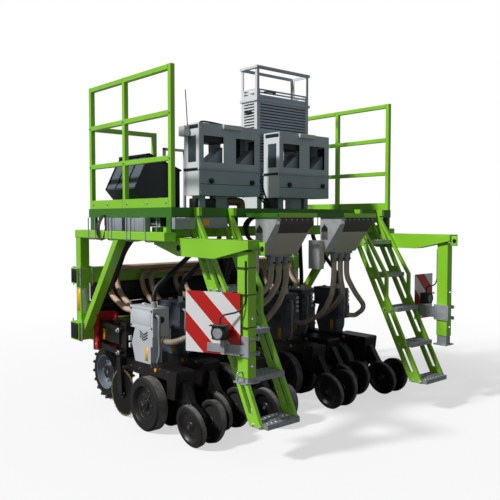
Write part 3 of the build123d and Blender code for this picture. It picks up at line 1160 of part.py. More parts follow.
# Notched coulter discs ahead of the openers
disc_half = COULTER_THICK / 2
disc_face = DISC_HUB_HALF - DISC_HUB_RECESS
coulter = turned([(-DISC_HUB_HALF, bore_r), (-DISC_HUB_HALF, DISC_HUB_R), (-disc_half, DISC_HUB_R),
                  (-disc_half, COULTER_R), (disc_half, COULTER_R), (disc_half, DISC_HUB_R),
                  (disc_face, DISC_HUB_R), (disc_face, bore_r)])
notch = rod((-COULTER_THICK, 0, COULTER_R), (COULTER_THICK, 0, COULTER_R), COULTER_NOTCH_R)
coulter -= [Rot((n + 0.5) * 360 / COULTER_NOTCHES, 0, 0) * notch for n in range(COULTER_NOTCHES)]
for i, (row, ahead) in enumerate(ROW_UNITS, 1):
    save(f"coulter_disc_{i}", [Pos(row + COULTER_OFFSET, COULTER_Y + ahead, coulter_z) * coulter])
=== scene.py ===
import math

import bmesh
import bpy
from mathutils import Matrix, Vector


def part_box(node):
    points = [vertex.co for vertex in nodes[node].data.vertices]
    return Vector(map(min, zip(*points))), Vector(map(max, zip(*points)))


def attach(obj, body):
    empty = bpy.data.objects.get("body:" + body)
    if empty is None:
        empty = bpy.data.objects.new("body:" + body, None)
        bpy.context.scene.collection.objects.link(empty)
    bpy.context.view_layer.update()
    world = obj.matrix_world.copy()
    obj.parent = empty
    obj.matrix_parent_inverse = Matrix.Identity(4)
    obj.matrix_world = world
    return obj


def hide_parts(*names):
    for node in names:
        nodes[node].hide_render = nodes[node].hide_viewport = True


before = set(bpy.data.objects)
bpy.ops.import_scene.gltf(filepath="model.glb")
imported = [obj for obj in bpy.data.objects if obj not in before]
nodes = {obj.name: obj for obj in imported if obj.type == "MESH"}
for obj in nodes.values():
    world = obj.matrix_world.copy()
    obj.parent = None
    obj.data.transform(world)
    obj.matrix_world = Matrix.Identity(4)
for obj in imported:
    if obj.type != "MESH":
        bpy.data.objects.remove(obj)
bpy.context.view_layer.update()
scene = bpy.context.scene
scene.view_settings.view_transform = "Standard"


# Studio: a pale paper floor that fades to white, a sun from the machine's left and a low white sky.
# The camera stands behind the left rear corner, as for the photograph.
def linear(code):
    """An sRGB hex colour as linear RGBA."""
    parts = [int(code[i:i + 2], 16) / 255 for i in (1, 3, 5)]
    return [c / 12.92 if c <= 0.04045 else ((c + 0.055) / 1.055) ** 2.4 for c in parts] + [1.0]


def add(tree, kind, inputs=(), **settings):
    """Add a node with its settings, its inputs given by name or in order. A node given stands for its output."""
    node = tree.nodes.new(kind if "Node" in kind else "ShaderNode" + kind)
    for key, value in settings.items():
        setattr(node, key, value)
    for key, value in inputs.items() if isinstance(inputs, dict) else enumerate(inputs):
        if isinstance(value, bpy.types.Node):
            value = next(socket for socket in value.outputs if socket.enabled)
        if isinstance(value, bpy.types.NodeSocket):
            tree.links.new(value, node.inputs[key])
        else:
            node.inputs[key].default_value = value
    return node


def placed(name, data):
    """An object linked in the scene."""
    made = bpy.data.objects.new(name, data)
    scene.collection.objects.link(made)
    return made


def seen_plainly(tree):
    """1 for rays from the camera, straight or through clear pieces, and 0 for rays that carry light about."""
    path = add(tree, "LightPath")
    return add(tree, "Math", (path.outputs["Is Camera Ray"], path.outputs["Is Transmission Ray"]), operation="MAXIMUM")


WHITE = (1, 1, 1, 1)
SKY_STRENGTH, SUN_STRENGTH, SUN_WIDTH, SUN_WAY = 0.26, 3.3, math.radians(7), (0.82, -0.20, -0.78)
world = bpy.data.worlds.new("white_sky")
scene.world = world
world.use_nodes = True
sky = world.node_tree
sky.nodes.clear()
lit = add(sky, "Background", {"Color": linear("#F2F5FA"), "Strength": SKY_STRENGTH})
plain = add(sky, "Background", {"Color": WHITE, "Strength": 1.0})
add(sky, "OutputWorld", (add(sky, "MixShader", (seen_plainly(sky), lit, plain)),))

FLOOR_HALF = 40.0
FADE_START, FADE_END, FADE_LEAST = 2.4, 6.5, 0.60
floor_mesh = bpy.data.meshes.new("floor")
floor_mesh.from_pydata([(x * FLOOR_HALF, y * FLOOR_HALF, 0) for x, y in ((-1, -1), (1, -1), (1, 1), (-1, 1))], [],
                       [(0, 1, 2, 3)])
floor = placed("floor", floor_mesh)
floor_paper = bpy.data.materials.new("white_paper_floor")
floor_paper.use_nodes = True
tree = floor_paper.node_tree
tree.nodes.clear()
reach = add(tree, "VectorMath", (add(tree, "TexCoord").outputs["Object"],), operation="LENGTH")
fade = add(tree, "MapRange", (reach, FADE_START, FADE_END, FADE_LEAST, 1.0))
seen = seen_plainly(tree)
share = add(tree, "Math", (fade, seen), operation="MULTIPLY")
tone = add(tree, "Mix", {"Factor": seen, "A": linear("#80807E"), "B": linear("#F4F4F4")}, data_type="RGBA")
paper = add(tree, "BsdfDiffuse", {"Color": tone})
glow = add(tree, "Emission", {"Color": WHITE, "Strength": 1.0})
add(tree, "OutputMaterial", (add(tree, "MixShader", (share, paper, glow)),))
floor_mesh.materials.append(floor_paper)

sun_data = bpy.data.lights.new("sun", "SUN")
sun_data.energy = SUN_STRENGTH
sun_data.angle = SUN_WIDTH
sun = placed("sun", sun_data)
sun.rotation_euler = Vector(SUN_WAY).to_track_quat("-Z", "Y").to_euler()

CAMERA_PLACE = (-4.043, -4.576, 1.695)
CAMERA_YAW, CAMERA_PITCH = math.radians(41), math.radians(2.81)
FOCAL_PIXELS, IMAGE_PIXELS = 651, 500
camera_data = bpy.data.cameras.new("camera")
camera_data.angle = 2 * math.atan(IMAGE_PIXELS / 2 / FOCAL_PIXELS)
camera = placed("camera", camera_data)
camera.location = CAMERA_PLACE
camera.rotation_euler = (math.pi / 2 - CAMERA_PITCH, 0, -CAMERA_YAW)
scene.camera = camera


# Frame: square section toolbars, posts, beams and the three-point hitch, welded and sprayed in glossy green.
# Black plastic plugs close the open toolbar ends, zinc U-bolts hold the toolbars to the posts, and blank stickers
# mark the front posts.
SIDES, SIDE_NAMES = (-1, 1), ((-1, "left"), (1, "right"))
UP, REARWARD = (0, 0, 1), (0, -1, 0)


def new_material(name):
    """A bare material, its tree and the piece's coordinates."""
    made = bpy.data.materials.new(name)
    made.use_nodes = True
    tree = made.node_tree
    tree.nodes.clear()
    return made, tree, add(tree, "TexCoord").outputs["Object"]


def surfaced(made, inputs):
    """End a material: its surface shader with all that feeds it."""
    add(made.node_tree, "OutputMaterial", (add(made.node_tree, "BsdfPrincipled", inputs),))
    return made


def axis_of(tree, axis, source="TexCoord", output="Object"):
    """One axis of the piece's coordinates, or of another vector that a source gives."""
    return add(tree, "SeparateXYZ", (add(tree, source).outputs[output],)).outputs[axis]


def uneven(tree, colour, *pattern):
    """A colour that a pattern makes darker and lighter: the pattern, its range and the range of tones."""
    tint = add(tree, "MapRange", pattern)
    return add(tree, "VectorMath", {0: linear(colour)[:3], "Scale": tint}, operation="SCALE")


def coated_steel(name, colour, worn, roughness, dust_most, coat=0.0):
    """Sprayed steel: slight mottling, rubbed edges, and soil dust that thickens towards the ground."""
    made, tree, place = new_material(name)
    mottle = add(tree, "TexNoise", {"Vector": place, "Scale": 1 / 0.35, "Detail": 4})
    base = uneven(tree, colour, mottle, 0.3, 0.7, 0.90, 1.06)
    soft = add(tree, "Bevel", {"Radius": 0.004}, samples=4)
    true = add(tree, "NewGeometry")
    lean = add(tree, "VectorMath", (soft, true.outputs["Normal"]), operation="DOT_PRODUCT")
    scuff = add(tree, "TexNoise", {"Vector": place, "Scale": 1 / 0.03, "Detail": 5})
    edge = add(tree, "MapRange", (lean, 0.97, 0.80, 0.0, 0.7))
    chip = add(tree, "Math", (edge, scuff), operation="MULTIPLY")
    rubbed = add(tree, "Mix", {"Factor": chip, "A": base, "B": linear(worn)}, data_type="RGBA")
    low = add(tree, "MapRange", (axis_of(tree, "Z"), 1.0, 0.05, 0.04, dust_most))
    cloud = add(tree, "TexNoise", {"Vector": place, "Scale": 1 / 0.09, "Detail": 6, "Roughness": 0.65})
    patch = add(tree, "MapRange", (cloud, 0.38, 0.68))
    dusty = add(tree, "Math", (low, patch), operation="MULTIPLY")
    final = add(tree, "Mix", {"Factor": dusty, "A": rubbed, "B": linear("#8B7B62")}, data_type="RGBA")
    gloss = add(tree, "MapRange", (dusty, 0, 1, roughness, 0.9))
    peel = add(tree, "TexNoise", {"Vector": place, "Scale": 1 / 0.008, "Detail": 2})
    bump = add(tree, "Bump", {"Height": peel, "Strength": 0.05, "Distance": 0.002, "Normal": soft})
    return surfaced(made, {"Base Color": final, "Roughness": gloss, "Normal": bump, "Coat Weight": coat})


def finish(material, *names):
    """Give CAD nodes their finish."""
    for name in names:
        slots = nodes[name].data.materials
        slots.clear()
        slots.append(material)


def settle(name, mesh, materials, body="machine"):
    """Link a finished mesh, with its finishes, as a piece that rides on a body."""
    for one in materials:
        mesh.materials.append(one)
    made = placed(name, mesh)
    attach(made, body)
    return made


def piece(name, shape, *materials, body="machine", sharp=0.6):
    """A finished piece from a bmesh."""
    bmesh.ops.recalc_face_normals(shape, faces=shape.faces)
    mesh = bpy.data.meshes.new(name)
    shape.to_mesh(mesh)
    shape.free()
    mesh.shade_smooth()
    mesh.set_sharp_from_angle(angle=sharp)
    return settle(name, mesh, materials, body)


def slab(shape, low, high, bevel=0.003, turn=None, skin=0):
    """A block between two corners with eased edges, turned by a matrix if one is given."""
    middle = [(a + b) / 2 for a, b in zip(low, high)]
    size = [max(abs(b - a), 0.0004) for a, b in zip(low, high)]
    fresh = bmesh.ops.create_cube(shape, size=1.0, matrix=Matrix.Translation(middle) @ Matrix.Diagonal((*size, 1)))
    corners = fresh["verts"]
    edges = list(dict.fromkeys(edge for corner in corners for edge in corner.link_edges))
    width = min(bevel, 0.45 * min(size))
    eased = bmesh.ops.bevel(shape, geom=edges, offset=width, segments=2, profile=0.5, affect="EDGES")
    moved = {v for face in eased["faces"] for v in face.verts} | {v for v in corners if v.is_valid}
    if turn is not None:
        bmesh.ops.transform(shape, matrix=turn, verts=list(moved))
    for face in {face for v in moved for face in v.link_faces}:
        face.material_index = skin


green_paint = coated_steel("green_enamel_on_steel", "#8CCF2E", "#BEE088", 0.28, 0.18, 0.25)
finish(green_paint, "lower_toolbar", "upper_toolbar", "side_frames", "hitch_brackets")


def moulded(name, colour, roughness=0.45, speck=0.06, dust=0.12):
    """Moulded plastic: a fine grain, a little unevenness and dust on what faces up."""
    made, tree, place = new_material(name)
    cloud = add(tree, "TexNoise", {"Vector": place, "Scale": 1 / 0.12, "Detail": 5})
    base = uneven(tree, colour, cloud, 0.3, 0.7, 1 - speck, 1 + speck)
    up = add(tree, "MapRange", (axis_of(tree, "Z", "NewGeometry", "Normal"), 0.3, 1.0, 0.0, dust))
    final = add(tree, "Mix", {"Factor": up, "A": base, "B": linear("#A89A84")}, data_type="RGBA")
    grain = add(tree, "TexNoise", {"Vector": place, "Scale": 1 / 0.004, "Detail": 2})
    soft = add(tree, "Bevel", {"Radius": 0.003}, samples=4)
    bump = add(tree, "Bump", {"Height": grain, "Strength": 0.06, "Distance": 0.001, "Normal": soft})
    worn = add(tree, "MapRange", (cloud, 0, 1, roughness - 0.08, roughness + 0.12))
    return surfaced(made, {"Base Color": final, "Roughness": worn, "Normal": bump})


black_plastic = moulded("black_moulded_plastic", "#1B1C1E")
orange_film = moulded("blank_orange_sticker_film", "#F0A818", 0.35, 0.03, 0.05)
white_film = moulded("blank_white_sticker_film", "#DADCDD", 0.35, 0.03, 0.05)
PLUG_INSET, RIB_INSET, RIB_EDGE, RIB_HALF = 0.009, 0.022, 0.03, 0.004
plugs = bmesh.new()
for name in ("lower_toolbar", "upper_toolbar"):
    low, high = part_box(name)
    for side in SIDES:
        end = high.x if side > 0 else low.x
        near, far = sorted((end - side * 0.03, end + side * 0.006))
        slab(plugs, (near, low.y + PLUG_INSET, low.z + PLUG_INSET),
             (far, high.y - PLUG_INSET, high.z - PLUG_INSET), 0.006)
        near, far = sorted((end, end + side * 0.010))
        for k in range(3):
            rib = low.y + RIB_EDGE + k * (high.y - low.y - 2 * RIB_EDGE) / 2
            slab(plugs, (near, rib - RIB_HALF, low.z + RIB_INSET), (far, rib + RIB_HALF, high.z - RIB_INSET), 0.002)
piece("toolbar_end_plugs", plugs, black_plastic)

POST_X, POST_REAR = 1.335, 0.795
post_marks = bmesh.new()
for side in SIDES:
    near, far = sorted((side * 1.3800, side * 1.3808))
    slab(post_marks, (near, 0.812, 0.86), (far, 0.868, 1.06), 0.0003)
    slab(post_marks, (side * POST_X - 0.030, 0.7942, 0.84), (side * POST_X + 0.030, POST_REAR, 1.07), 0.0003, skin=1)
piece("post_stickers", post_marks, orange_film, white_film)


def zinc(name, colour, roughness=0.42):
    """Hot-dip galvanised steel: spangle patches, grey oxide and dull reflections."""
    made, tree, place = new_material(name)
    cell = add(tree, "TexVoronoi", {"Vector": place, "Scale": 1 / 0.012})
    spangle = add(tree, "MapRange", (cell.outputs["Color"], 0, 1, 0.88, 1.10))
    cloud = add(tree, "TexNoise", {"Vector": place, "Scale": 1 / 0.15, "Detail": 5})
    stain = add(tree, "MapRange", (cloud, 0.3, 0.7, 0.84, 1.06))
    both = add(tree, "Math", (spangle, stain), operation="MULTIPLY")
    base = add(tree, "VectorMath", {0: linear(colour)[:3], "Scale": both}, operation="SCALE")
    rough = add(tree, "MapRange", (cell.outputs["Color"], 0, 1, roughness - 0.08, roughness + 0.14))
    soft = add(tree, "Bevel", {"Radius": 0.002}, samples=4)
    return surfaced(made, {"Base Color": base, "Roughness": rough, "Normal": soft, "Metallic": 0.35})


galvanised = zinc("hot_dip_galvanised_steel", "#A9ADB1")
bolt_zinc = zinc("bright_zinc_bolts", "#C3C6C8", 0.30)


def repeat_tree(name):
    """A node tree that repeats a shape on spots: the tree, and the node with what it is given."""
    tree = bpy.data.node_groups.new(name, "GeometryNodeTree")
    for title, kind, way in (("Spots", "NodeSocketGeometry", "INPUT"), ("Size", "NodeSocketFloat", "INPUT"),
                             ("Finish", "NodeSocketMaterial", "INPUT"), ("Shapes", "NodeSocketGeometry", "OUTPUT")):
        tree.interface.new_socket(title, in_out=way, socket_type=kind)
    return tree, add(tree, "NodeGroupInput")


def shares(tree, given, *parts):
    """Parts of the given size."""
    return [add(tree, "Math", (given.outputs["Size"], part), operation="MULTIPLY") for part in parts]


def repeat_on_spots(tree, given, shape):
    """End a tree: its shape on each spot, turned to the spot's aim, made real and given its finish."""
    aim = add(tree, "GeometryNodeInputNamedAttribute", {"Name": "aim"}, data_type="FLOAT_VECTOR")
    turn = add(tree, "FunctionNodeAlignRotationToVector", {"Vector": aim.outputs["Attribute"]}, axis="Z")
    spread = add(tree, "GeometryNodeInstanceOnPoints", {
        "Points": given.outputs["Spots"], "Instance": shape, "Rotation": turn})
    real = add(tree, "GeometryNodeRealizeInstances", (spread,))
    dressed = add(tree, "GeometryNodeSetMaterial", {"Geometry": real, "Material": given.outputs["Finish"]})
    add(tree, "NodeGroupOutput", (dressed,))


bolt_tree, given = repeat_tree("hex_bolts")
head_r, head_h, top_r, ring_r, ring_h = shares(bolt_tree, given, 0.577, 0.65, 0.46, 0.86, 0.14)
hexagon = add(bolt_tree, "GeometryNodeMeshCone", {
    "Vertices": 6, "Radius Top": top_r, "Radius Bottom": head_r, "Depth": head_h})
washer = add(bolt_tree, "GeometryNodeMeshCylinder", {"Vertices": 12, "Radius": ring_r, "Depth": ring_h})
bolt = add(bolt_tree, "GeometryNodeJoinGeometry", (hexagon,))
bolt_tree.links.new(washer.outputs["Mesh"], bolt.inputs[0])
repeat_on_spots(bolt_tree, given, bolt)


def spread_out(name, tree, spots, size, skin, body="machine"):
    """Repeat a tree's shape on spots, each a point and the way it faces, as one plain mesh on a body."""
    mesh = bpy.data.meshes.new(name + "_spots")
    mesh.from_pydata([point for point, way in spots], [], [])
    ways = mesh.attributes.new("aim", "FLOAT_VECTOR", "POINT")
    ways.data.foreach_set("vector", [value for point, way in spots for value in way])
    made = placed(name, mesh)
    maker = made.modifiers.new("repeat", "NODES")
    maker.node_group = tree
    inputs = {"Size": size, "Finish": skin}
    for item in tree.interface.items_tree:
        if item.name in inputs:
            maker[item.identifier] = inputs[item.name]
    ready = made.evaluated_get(bpy.context.evaluated_depsgraph_get())
    plain = bpy.data.meshes.new_from_object(ready)
    made.modifiers.clear()
    made.data = plain
    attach(made, body)


def bolts(name, spots, across, skin=bolt_zinc):
    """Hexagon bolts with washers, in bright zinc if no other finish is given."""
    spread_out(name, bolt_tree, spots, across, skin)


def wires(name, runs, radius, material):
    """Bent round bar, tube or cable along runs of points, as one plain mesh."""
    curve = bpy.data.curves.new(name, "CURVE")
    curve.dimensions = "3D"
    curve.bevel_depth = radius
    curve.bevel_resolution = 3
    curve.use_fill_caps = True
    for run in runs:
        line = curve.splines.new("NURBS")
        line.points.add(len(run) - 1)
        line.points.foreach_set("co", [value for point in run for value in (*point, 1)])
        line.order_u = min(3, len(run))
        line.use_endpoint_u = True
        line.resolution_u = 5
    holder = placed(name + "_run", curve)
    mesh = bpy.data.meshes.new_from_object(holder.evaluated_get(bpy.context.evaluated_depsgraph_get()))
    bpy.data.objects.remove(holder)
    mesh.shade_smooth()
    settle(name, mesh, [material])


U_GAP, U_SPACING, U_REACH, U_BEND = 0.006, 0.058, 0.022, 0.015
u_bolts = []
for name, up in (("lower_toolbar", 1), ("upper_toolbar", -1)):
    low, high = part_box(name)
    bottom, top = (low.z, high.z) if up > 0 else (high.z, low.z)
    rear, front, bend = low.y - U_GAP, high.y + U_GAP, up * U_BEND
    top, bottom = top + up * U_REACH, bottom - up * U_GAP
    for side in SIDES:
        for dx in (-U_SPACING, U_SPACING):
            x = side * POST_X + dx
            u_bolts.append([(x, rear, top), (x, rear, bottom + bend), (x, rear, bottom), (x, rear + bend, bottom),
                            (x, front - bend, bottom), (x, front, bottom), (x, front, bottom + bend), (x, front, top)])
wires("toolbar_u_bolts", u_bolts, 0.006, bolt_zinc)

# Platform: a channel frame under a chequer-plate floor, with square-tube railings and toe boards on its edges in the
# frame's green enamel; the channel frame, floor and studs carry a darker green as painted shade. Screws hold the toe
# boards to the posts, the floor's studs are rolled in, and zinc U-bolts hang on the side beams.
# Painted shade: the deck's darker green stands for the shade under the railings and toe boards.
deck_green_painted_shade = coated_steel("green_enamel_with_painted_shade_on_deck", "#37741A", "#6FA04A", 0.34, 0.18)
finish(deck_green_painted_shade, "deck")
finish(green_paint, "railings")


def solids(name):
    """The boxes of a CAD node's separate solids, from left to right, low to high and rear to front."""
    shape = bmesh.new()
    shape.from_mesh(nodes[name].data)
    bmesh.ops.remove_doubles(shape, verts=shape.verts, dist=1e-5)
    waiting = set(shape.verts)
    boxes = []
    while waiting:
        reached = [waiting.pop()]
        for vert in reached:
            joined = {edge.other_vert(vert) for edge in vert.link_edges} & waiting
            waiting -= joined
            reached.extend(joined)
        places = [vert.co.copy() for vert in reached]
        boxes.append(tuple(Vector([pick(place[i] for place in places) for i in range(3)]) for pick in (min, max)))
    shape.free()
    return sorted(boxes, key=lambda ends: (round(ends[0].x, 3), ends[0].z, ends[0].y))


stud_tree, given = repeat_tree("chequer_studs")
half, crown = shares(stud_tree, given, 0.5, 0.36)
diamond = add(stud_tree, "GeometryNodeMeshCone", {
    "Vertices": 8, "Radius Top": crown, "Radius Bottom": half, "Depth": 0.0022})
lozenge = add(stud_tree, "GeometryNodeTransform", {
    "Geometry": diamond, "Scale": (1.0, 0.32, 1.0), "Rotation": (0, 0, math.radians(45))})
repeat_on_spots(stud_tree, given, lozenge)
DECK_BOTTOM, FLOOR_TOP, FLOOR_REAR, FLOOR_FRONT = 1.70, 1.769, -0.52, 0.70
STUD_PITCH, STUD_EDGE, STUD_LENGTH = 0.055, 0.07, 0.034
deck_low, deck_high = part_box("deck")
stud_spots = [((deck_low.x + STUD_EDGE + column * STUD_PITCH, FLOOR_REAR + line * STUD_PITCH, FLOOR_TOP), UP)
              for column in range(int((deck_high.x - deck_low.x - 0.10) / STUD_PITCH))
              for line in range(int((FLOOR_FRONT - FLOOR_REAR) / STUD_PITCH))]
spread_out("chequer_studs", stud_tree, stud_spots, STUD_LENGTH, deck_green_painted_shade)

RAIL_FACE, TOE_YS, POST_YS = 1.3215, (-0.485, -0.22, 0.08, 0.40, 0.65), (-0.535, 0.13, 0.70)
toe_spots = [((side * RAIL_FACE, y, 1.811), (side, 0, 0)) for side in SIDES for y in TOE_YS]
rail_spots = [((side * RAIL_FACE, y, z), (side, 0, 0)) for side in SIDES for y in POST_YS for z in (2.14, 2.475)]
bolts("railing_screws", toe_spots + rail_spots, 0.013)

BEAM_IN, BEAM_OUT, BEAM_LOW, STRAP_BEND = 1.283, 1.388, 1.512, 0.02
straps = []
for side in SIDES:
    inner, outer = side * BEAM_IN, side * BEAM_OUT
    for y in (0.62, 0.50, 0.28, 0.22, -0.02, -0.08, -0.30):
        straps.append([(outer, y, DECK_BOTTOM), (outer, y, BEAM_LOW + STRAP_BEND), (outer, y, BEAM_LOW),
                       (inner, y, BEAM_LOW), (inner, y, BEAM_LOW + STRAP_BEND), (inner, y, DECK_BOTTOM)])
wires("beam_u_bolts", straps, 0.005, bolt_zinc)

# Boxes at the platform's edge: moulded cable boxes in light grey with black end caps, clipped on below the left edge
# and along the left beam, and two more under the rear edge at the left ladder's top. Loose cables hang at the front.
box_grey = moulded("light_grey_cable_box", "#8F979E", 0.45, 0.05, 0.15)
finish(box_grey, "deck_boxes")
caps = bmesh.new()
for low, high in solids("deck_boxes"):
    for y in (low.y, high.y):
        slab(caps, (low.x - 0.003, y - 0.010, low.z - 0.003), (high.x + 0.003, y + 0.010, high.z + 0.002), 0.003)
    slab(caps, (low.x - 0.002, low.y + 0.02, low.z + 0.045), (low.x + 0.002, high.y - 0.02, low.z + 0.052), 0.001)
BEAM_TOP, BEAM_BOX_TOP, BEAM_BOX_IN, BEAM_BOX_OUT = 1.590, 1.697, -1.3225, -1.381
beam_boxes = bmesh.new()
for rear, front in ((0.06, 0.30), (-0.27, 0.00)):
    slab(beam_boxes, (BEAM_BOX_OUT, rear, BEAM_TOP), (BEAM_BOX_IN, front, BEAM_BOX_TOP), 0.006)
    for y in (rear, (rear + front) / 2, front):
        slab(beam_boxes, (-1.384, y - 0.004, BEAM_TOP), (BEAM_BOX_IN, y + 0.004, BEAM_BOX_TOP + 0.0015), 0.002)
    slab(caps, (-1.383, front - 0.001, BEAM_TOP), (BEAM_BOX_IN, front + 0.040, BEAM_BOX_TOP + 0.001), 0.004)
piece("beam_cable_boxes", beam_boxes, box_grey)
piece("cable_box_caps", caps, black_plastic)
rear_box = bmesh.new()
slab(rear_box, (-1.07, -0.575, 1.615), (-0.80, -0.50, DECK_BOTTOM), 0.006)
slab(rear_box, (-1.045, -0.5765, 1.635), (-0.985, -0.5745, 1.685), 0.0005, skin=1)
slab(rear_box, (-1.315, -0.600, 1.612), (-1.125, -0.5605, 1.697), 0.006)
for x in (-1.315, -1.25, -1.19, -1.125):
    slab(rear_box, (x - 0.004, -0.603, 1.612), (x + 0.004, -0.5605, 1.6985), 0.002)
piece("ladder_top_box", rear_box, box_grey, orange_film)
loose = [[(-1.325, 0.44 + shift, 1.72), (-1.35, 0.44 + shift, 1.70), (-1.395, 0.42 + shift, 1.62),
          (-1.400, 0.40 + shift, 1.53), (-1.393, 0.37, 1.505), (-1.390, 0.34, 1.53), (-1.372, 0.335, 1.64)]
         for shift in (0.0, 0.02, 0.04)]
wires("loose_cables", loose, 0.006, black_plastic)

# Ladders: slotted stringers in green enamel, with pressed and galvanised treads bolted between them.
# Each tread is punched with rows of raised grip holes, and its lip is worn and muddy.
finish(green_paint, "ladder_frames")


def tread_steel(name, colour, mud):
    """Galvanised sheet underfoot: dull zinc with mud trodden into it in flecks."""
    made, tree, place = new_material(name)
    cell = add(tree, "TexVoronoi", {"Vector": place, "Scale": 1 / 0.010})
    base = uneven(tree, colour, cell.outputs["Color"], 0, 1, 0.85, 1.10)
    cloud = add(tree, "TexNoise", {"Vector": place, "Scale": 1 / 0.05, "Detail": 7, "Roughness": 0.7})
    fleck = add(tree, "MapRange", (cloud, 0.50, 0.66, 0.0, 0.75))
    final = add(tree, "Mix", {"Factor": fleck, "A": base, "B": linear(mud)}, data_type="RGBA")
    shine = add(tree, "MapRange", (fleck, 0, 1, 0.55, 0.0))
    return surfaced(made, {"Base Color": final, "Metallic": shine, "Roughness": 0.5})


trodden_zinc = tread_steel("trodden_galvanised_sheet", "#A4ABB3", "#8A7C6A")
finish(trodden_zinc, "ladder_treads")
# Holes are flat dark discs: painted shade standing for the hollow behind each hole.
painted_shade_hole = moulded("painted_shade_in_hollow", "#0C0C0D", 0.9, 0.02, 0.0)
GRIP_HEIGHT, HOLE_DEPTH = 0.005, 0.0012
grip_tree, given = repeat_tree("raised_grip_rings")
foot, = shares(grip_tree, given, 1.45)
grip = add(grip_tree, "GeometryNodeMeshCone", {
    "Vertices": 12, "Radius Top": given.outputs["Size"], "Radius Bottom": foot, "Depth": GRIP_HEIGHT})
repeat_on_spots(grip_tree, given, grip)
hole_tree, given = repeat_tree("round_holes")
hole = add(hole_tree, "GeometryNodeMeshCylinder", {
    "Vertices": 14, "Radius": given.outputs["Size"], "Depth": HOLE_DEPTH})
repeat_on_spots(hole_tree, given, hole)
STRINGER, TREAD_BOLT_IN, TREAD_BOLT_DROP = 0.029, 0.05, 0.018
GRIP_COLUMNS, GRIP_LINES, GRIP_EDGE = 7, 3, 0.032
grip_spots, tread_spots = [], []
for low, high in solids("ladder_treads"):
    step_x = (high.x - low.x - 2 * GRIP_EDGE) / (GRIP_COLUMNS - 1)
    step_y = (high.y - low.y - 2 * GRIP_EDGE) / (GRIP_LINES - 1)
    for column in range(GRIP_COLUMNS):
        for line in range(GRIP_LINES):
            grip_spots.append((low.x + GRIP_EDGE + column * step_x, low.y + GRIP_EDGE + line * step_y, high.z))
    for x, way in ((low.x - STRINGER, -1), (high.x + STRINGER, 1)):
        tread_spots += [((x, y, high.z - TREAD_BOLT_DROP), (way, 0, 0))
                        for y in (low.y + TREAD_BOLT_IN, high.y - TREAD_BOLT_IN)]
spread_out("tread_grips", grip_tree, [(spot, UP) for spot in grip_spots], 0.010, trodden_zinc)
# The grip holes are dark discs of painted shade on the raised rings.
spread_out("tread_holes", hole_tree, [((x, y, z + 0.0052), UP) for x, y, z in grip_spots], 0.008, painted_shade_hole)
bolts("tread_bolts", tread_spots, 0.017)

# Support arms: tapered box beams welded to square legs, in green enamel, with galvanised telescopic feet.
# A hole in each foot's tube takes the locking pin, a lug ends each arm, and a cable is tied to the left leg.
finish(green_paint, "support_arms")
finish(galvanised, "support_foot_left", "support_foot_right")
LEG_X, LEG_HALF, LEG_REAR, LEG_FRONT = 1.1925, 0.038, -1.318, -1.208
LEG_Y, PIN_TOP, PIN_LOW, PIN_REACH = -1.263, 0.66, 0.60, 0.045
arm_spots, pin_runs = [], []
arm_holes = bmesh.new()


def turned(shape, outline, centre, axis, steps=28, skin=0):
    """A closed outline of (along, radius) points turned about an axis, with its points on the axis shared."""
    spin = Vector(axis).normalized().to_track_quat("X", "Z")
    rings = []
    for n in range(steps):
        angle = math.tau * n / steps
        points = [(along, radius * math.cos(angle), radius * math.sin(angle)) for along, radius in outline]
        rings.append([rings[0][k] if n and outline[k][1] == 0 else
                      shape.verts.new(Vector(centre) + spin @ Vector(point)) for k, point in enumerate(points)])
    for n, ring in enumerate(rings):
        after = rings[(n + 1) % steps]
        for k, (along, radius) in enumerate(outline):
            j = (k + 1) % len(outline)
            if radius > 0 or outline[j][1] > 0:
                corners = dict.fromkeys((ring[k], ring[j], after[j], after[k]))
                shape.faces.new(list(corners)).material_index = skin


def disc(radius, start, end, ease=0.001):
    """The outline of a round plug with eased rims."""
    return [(start, 0), (start, radius - ease), (start + ease, radius), (end - ease, radius), (end, radius - ease),
            (end, 0)]


# Dark discs on both faces of each arm: painted shade in the arm's holes.
for side in SIDES:
    for face_x, way in ((side * 1.1275, -side), (side * 1.2575, side)):
        turned(arm_holes, disc(0.024, -0.002, 0.0012), (face_x, -0.555, 1.471), (way, 0, 0))
    for z in (1.02, 0.70):
        arm_spots.append(((side * LEG_X, LEG_REAR, z), REARWARD))
    pin_x = side * (LEG_X + LEG_HALF)
    pin_runs.append([(pin_x + side * out, LEG_Y, z) for out, z in (
        (-0.004, PIN_TOP), (0.03, PIN_TOP), (PIN_REACH, PIN_TOP), (PIN_REACH, 0.63), (PIN_REACH, PIN_LOW))])
piece("arm_holes", arm_holes, painted_shade_hole)
bolts("arm_bolts", arm_spots, 0.019)
wires("leg_locking_pins", pin_runs, 0.007, bolt_zinc)
# A dark disc on each foot's tube: painted shade in the pin hole.
for side, name in SIDE_NAMES:
    low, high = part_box(f"support_foot_{name}")
    spread_out(f"foot_{name}_holes", hole_tree, [((side * LEG_X, LEG_REAR + 0.012, low.z + 0.05), REARWARD)], 0.009,
               painted_shade_hole, f"support_foot_{name}")
ties = bmesh.new()
for z in (0.96, 1.18, 1.36):
    slab(ties, (-1.2446, LEG_REAR - 0.0015, z), (-1.1533, LEG_FRONT + 0.0015, z + 0.006), 0.0008)
piece("cable_ties", ties, black_plastic)
lugs = bmesh.new()
for side in SIDES:
    near, far = sorted((side * 1.150, side * 1.165))
    slab(lugs, (near, -1.412, 1.445), (far, -1.345, 1.535), 0.006)
    # Dark discs on the lug's faces: painted shade in its hole.
    for face_x, way in ((near, -1), (far, 1)):
        turned(lugs, disc(0.019, -0.002, 0.0012), (face_x, -1.386, 1.49), (way, 0, 0), skin=1)
piece("arm_end_lugs", lugs, green_paint, painted_shade_hole)

# Warning panels: boards covered on both faces with reflective film in red and white bands, on galvanised clamp
# brackets. Each bracket also carries a marker lamp with a black hood and a clear ribbed lens.
finish(galvanised, "panel_brackets")


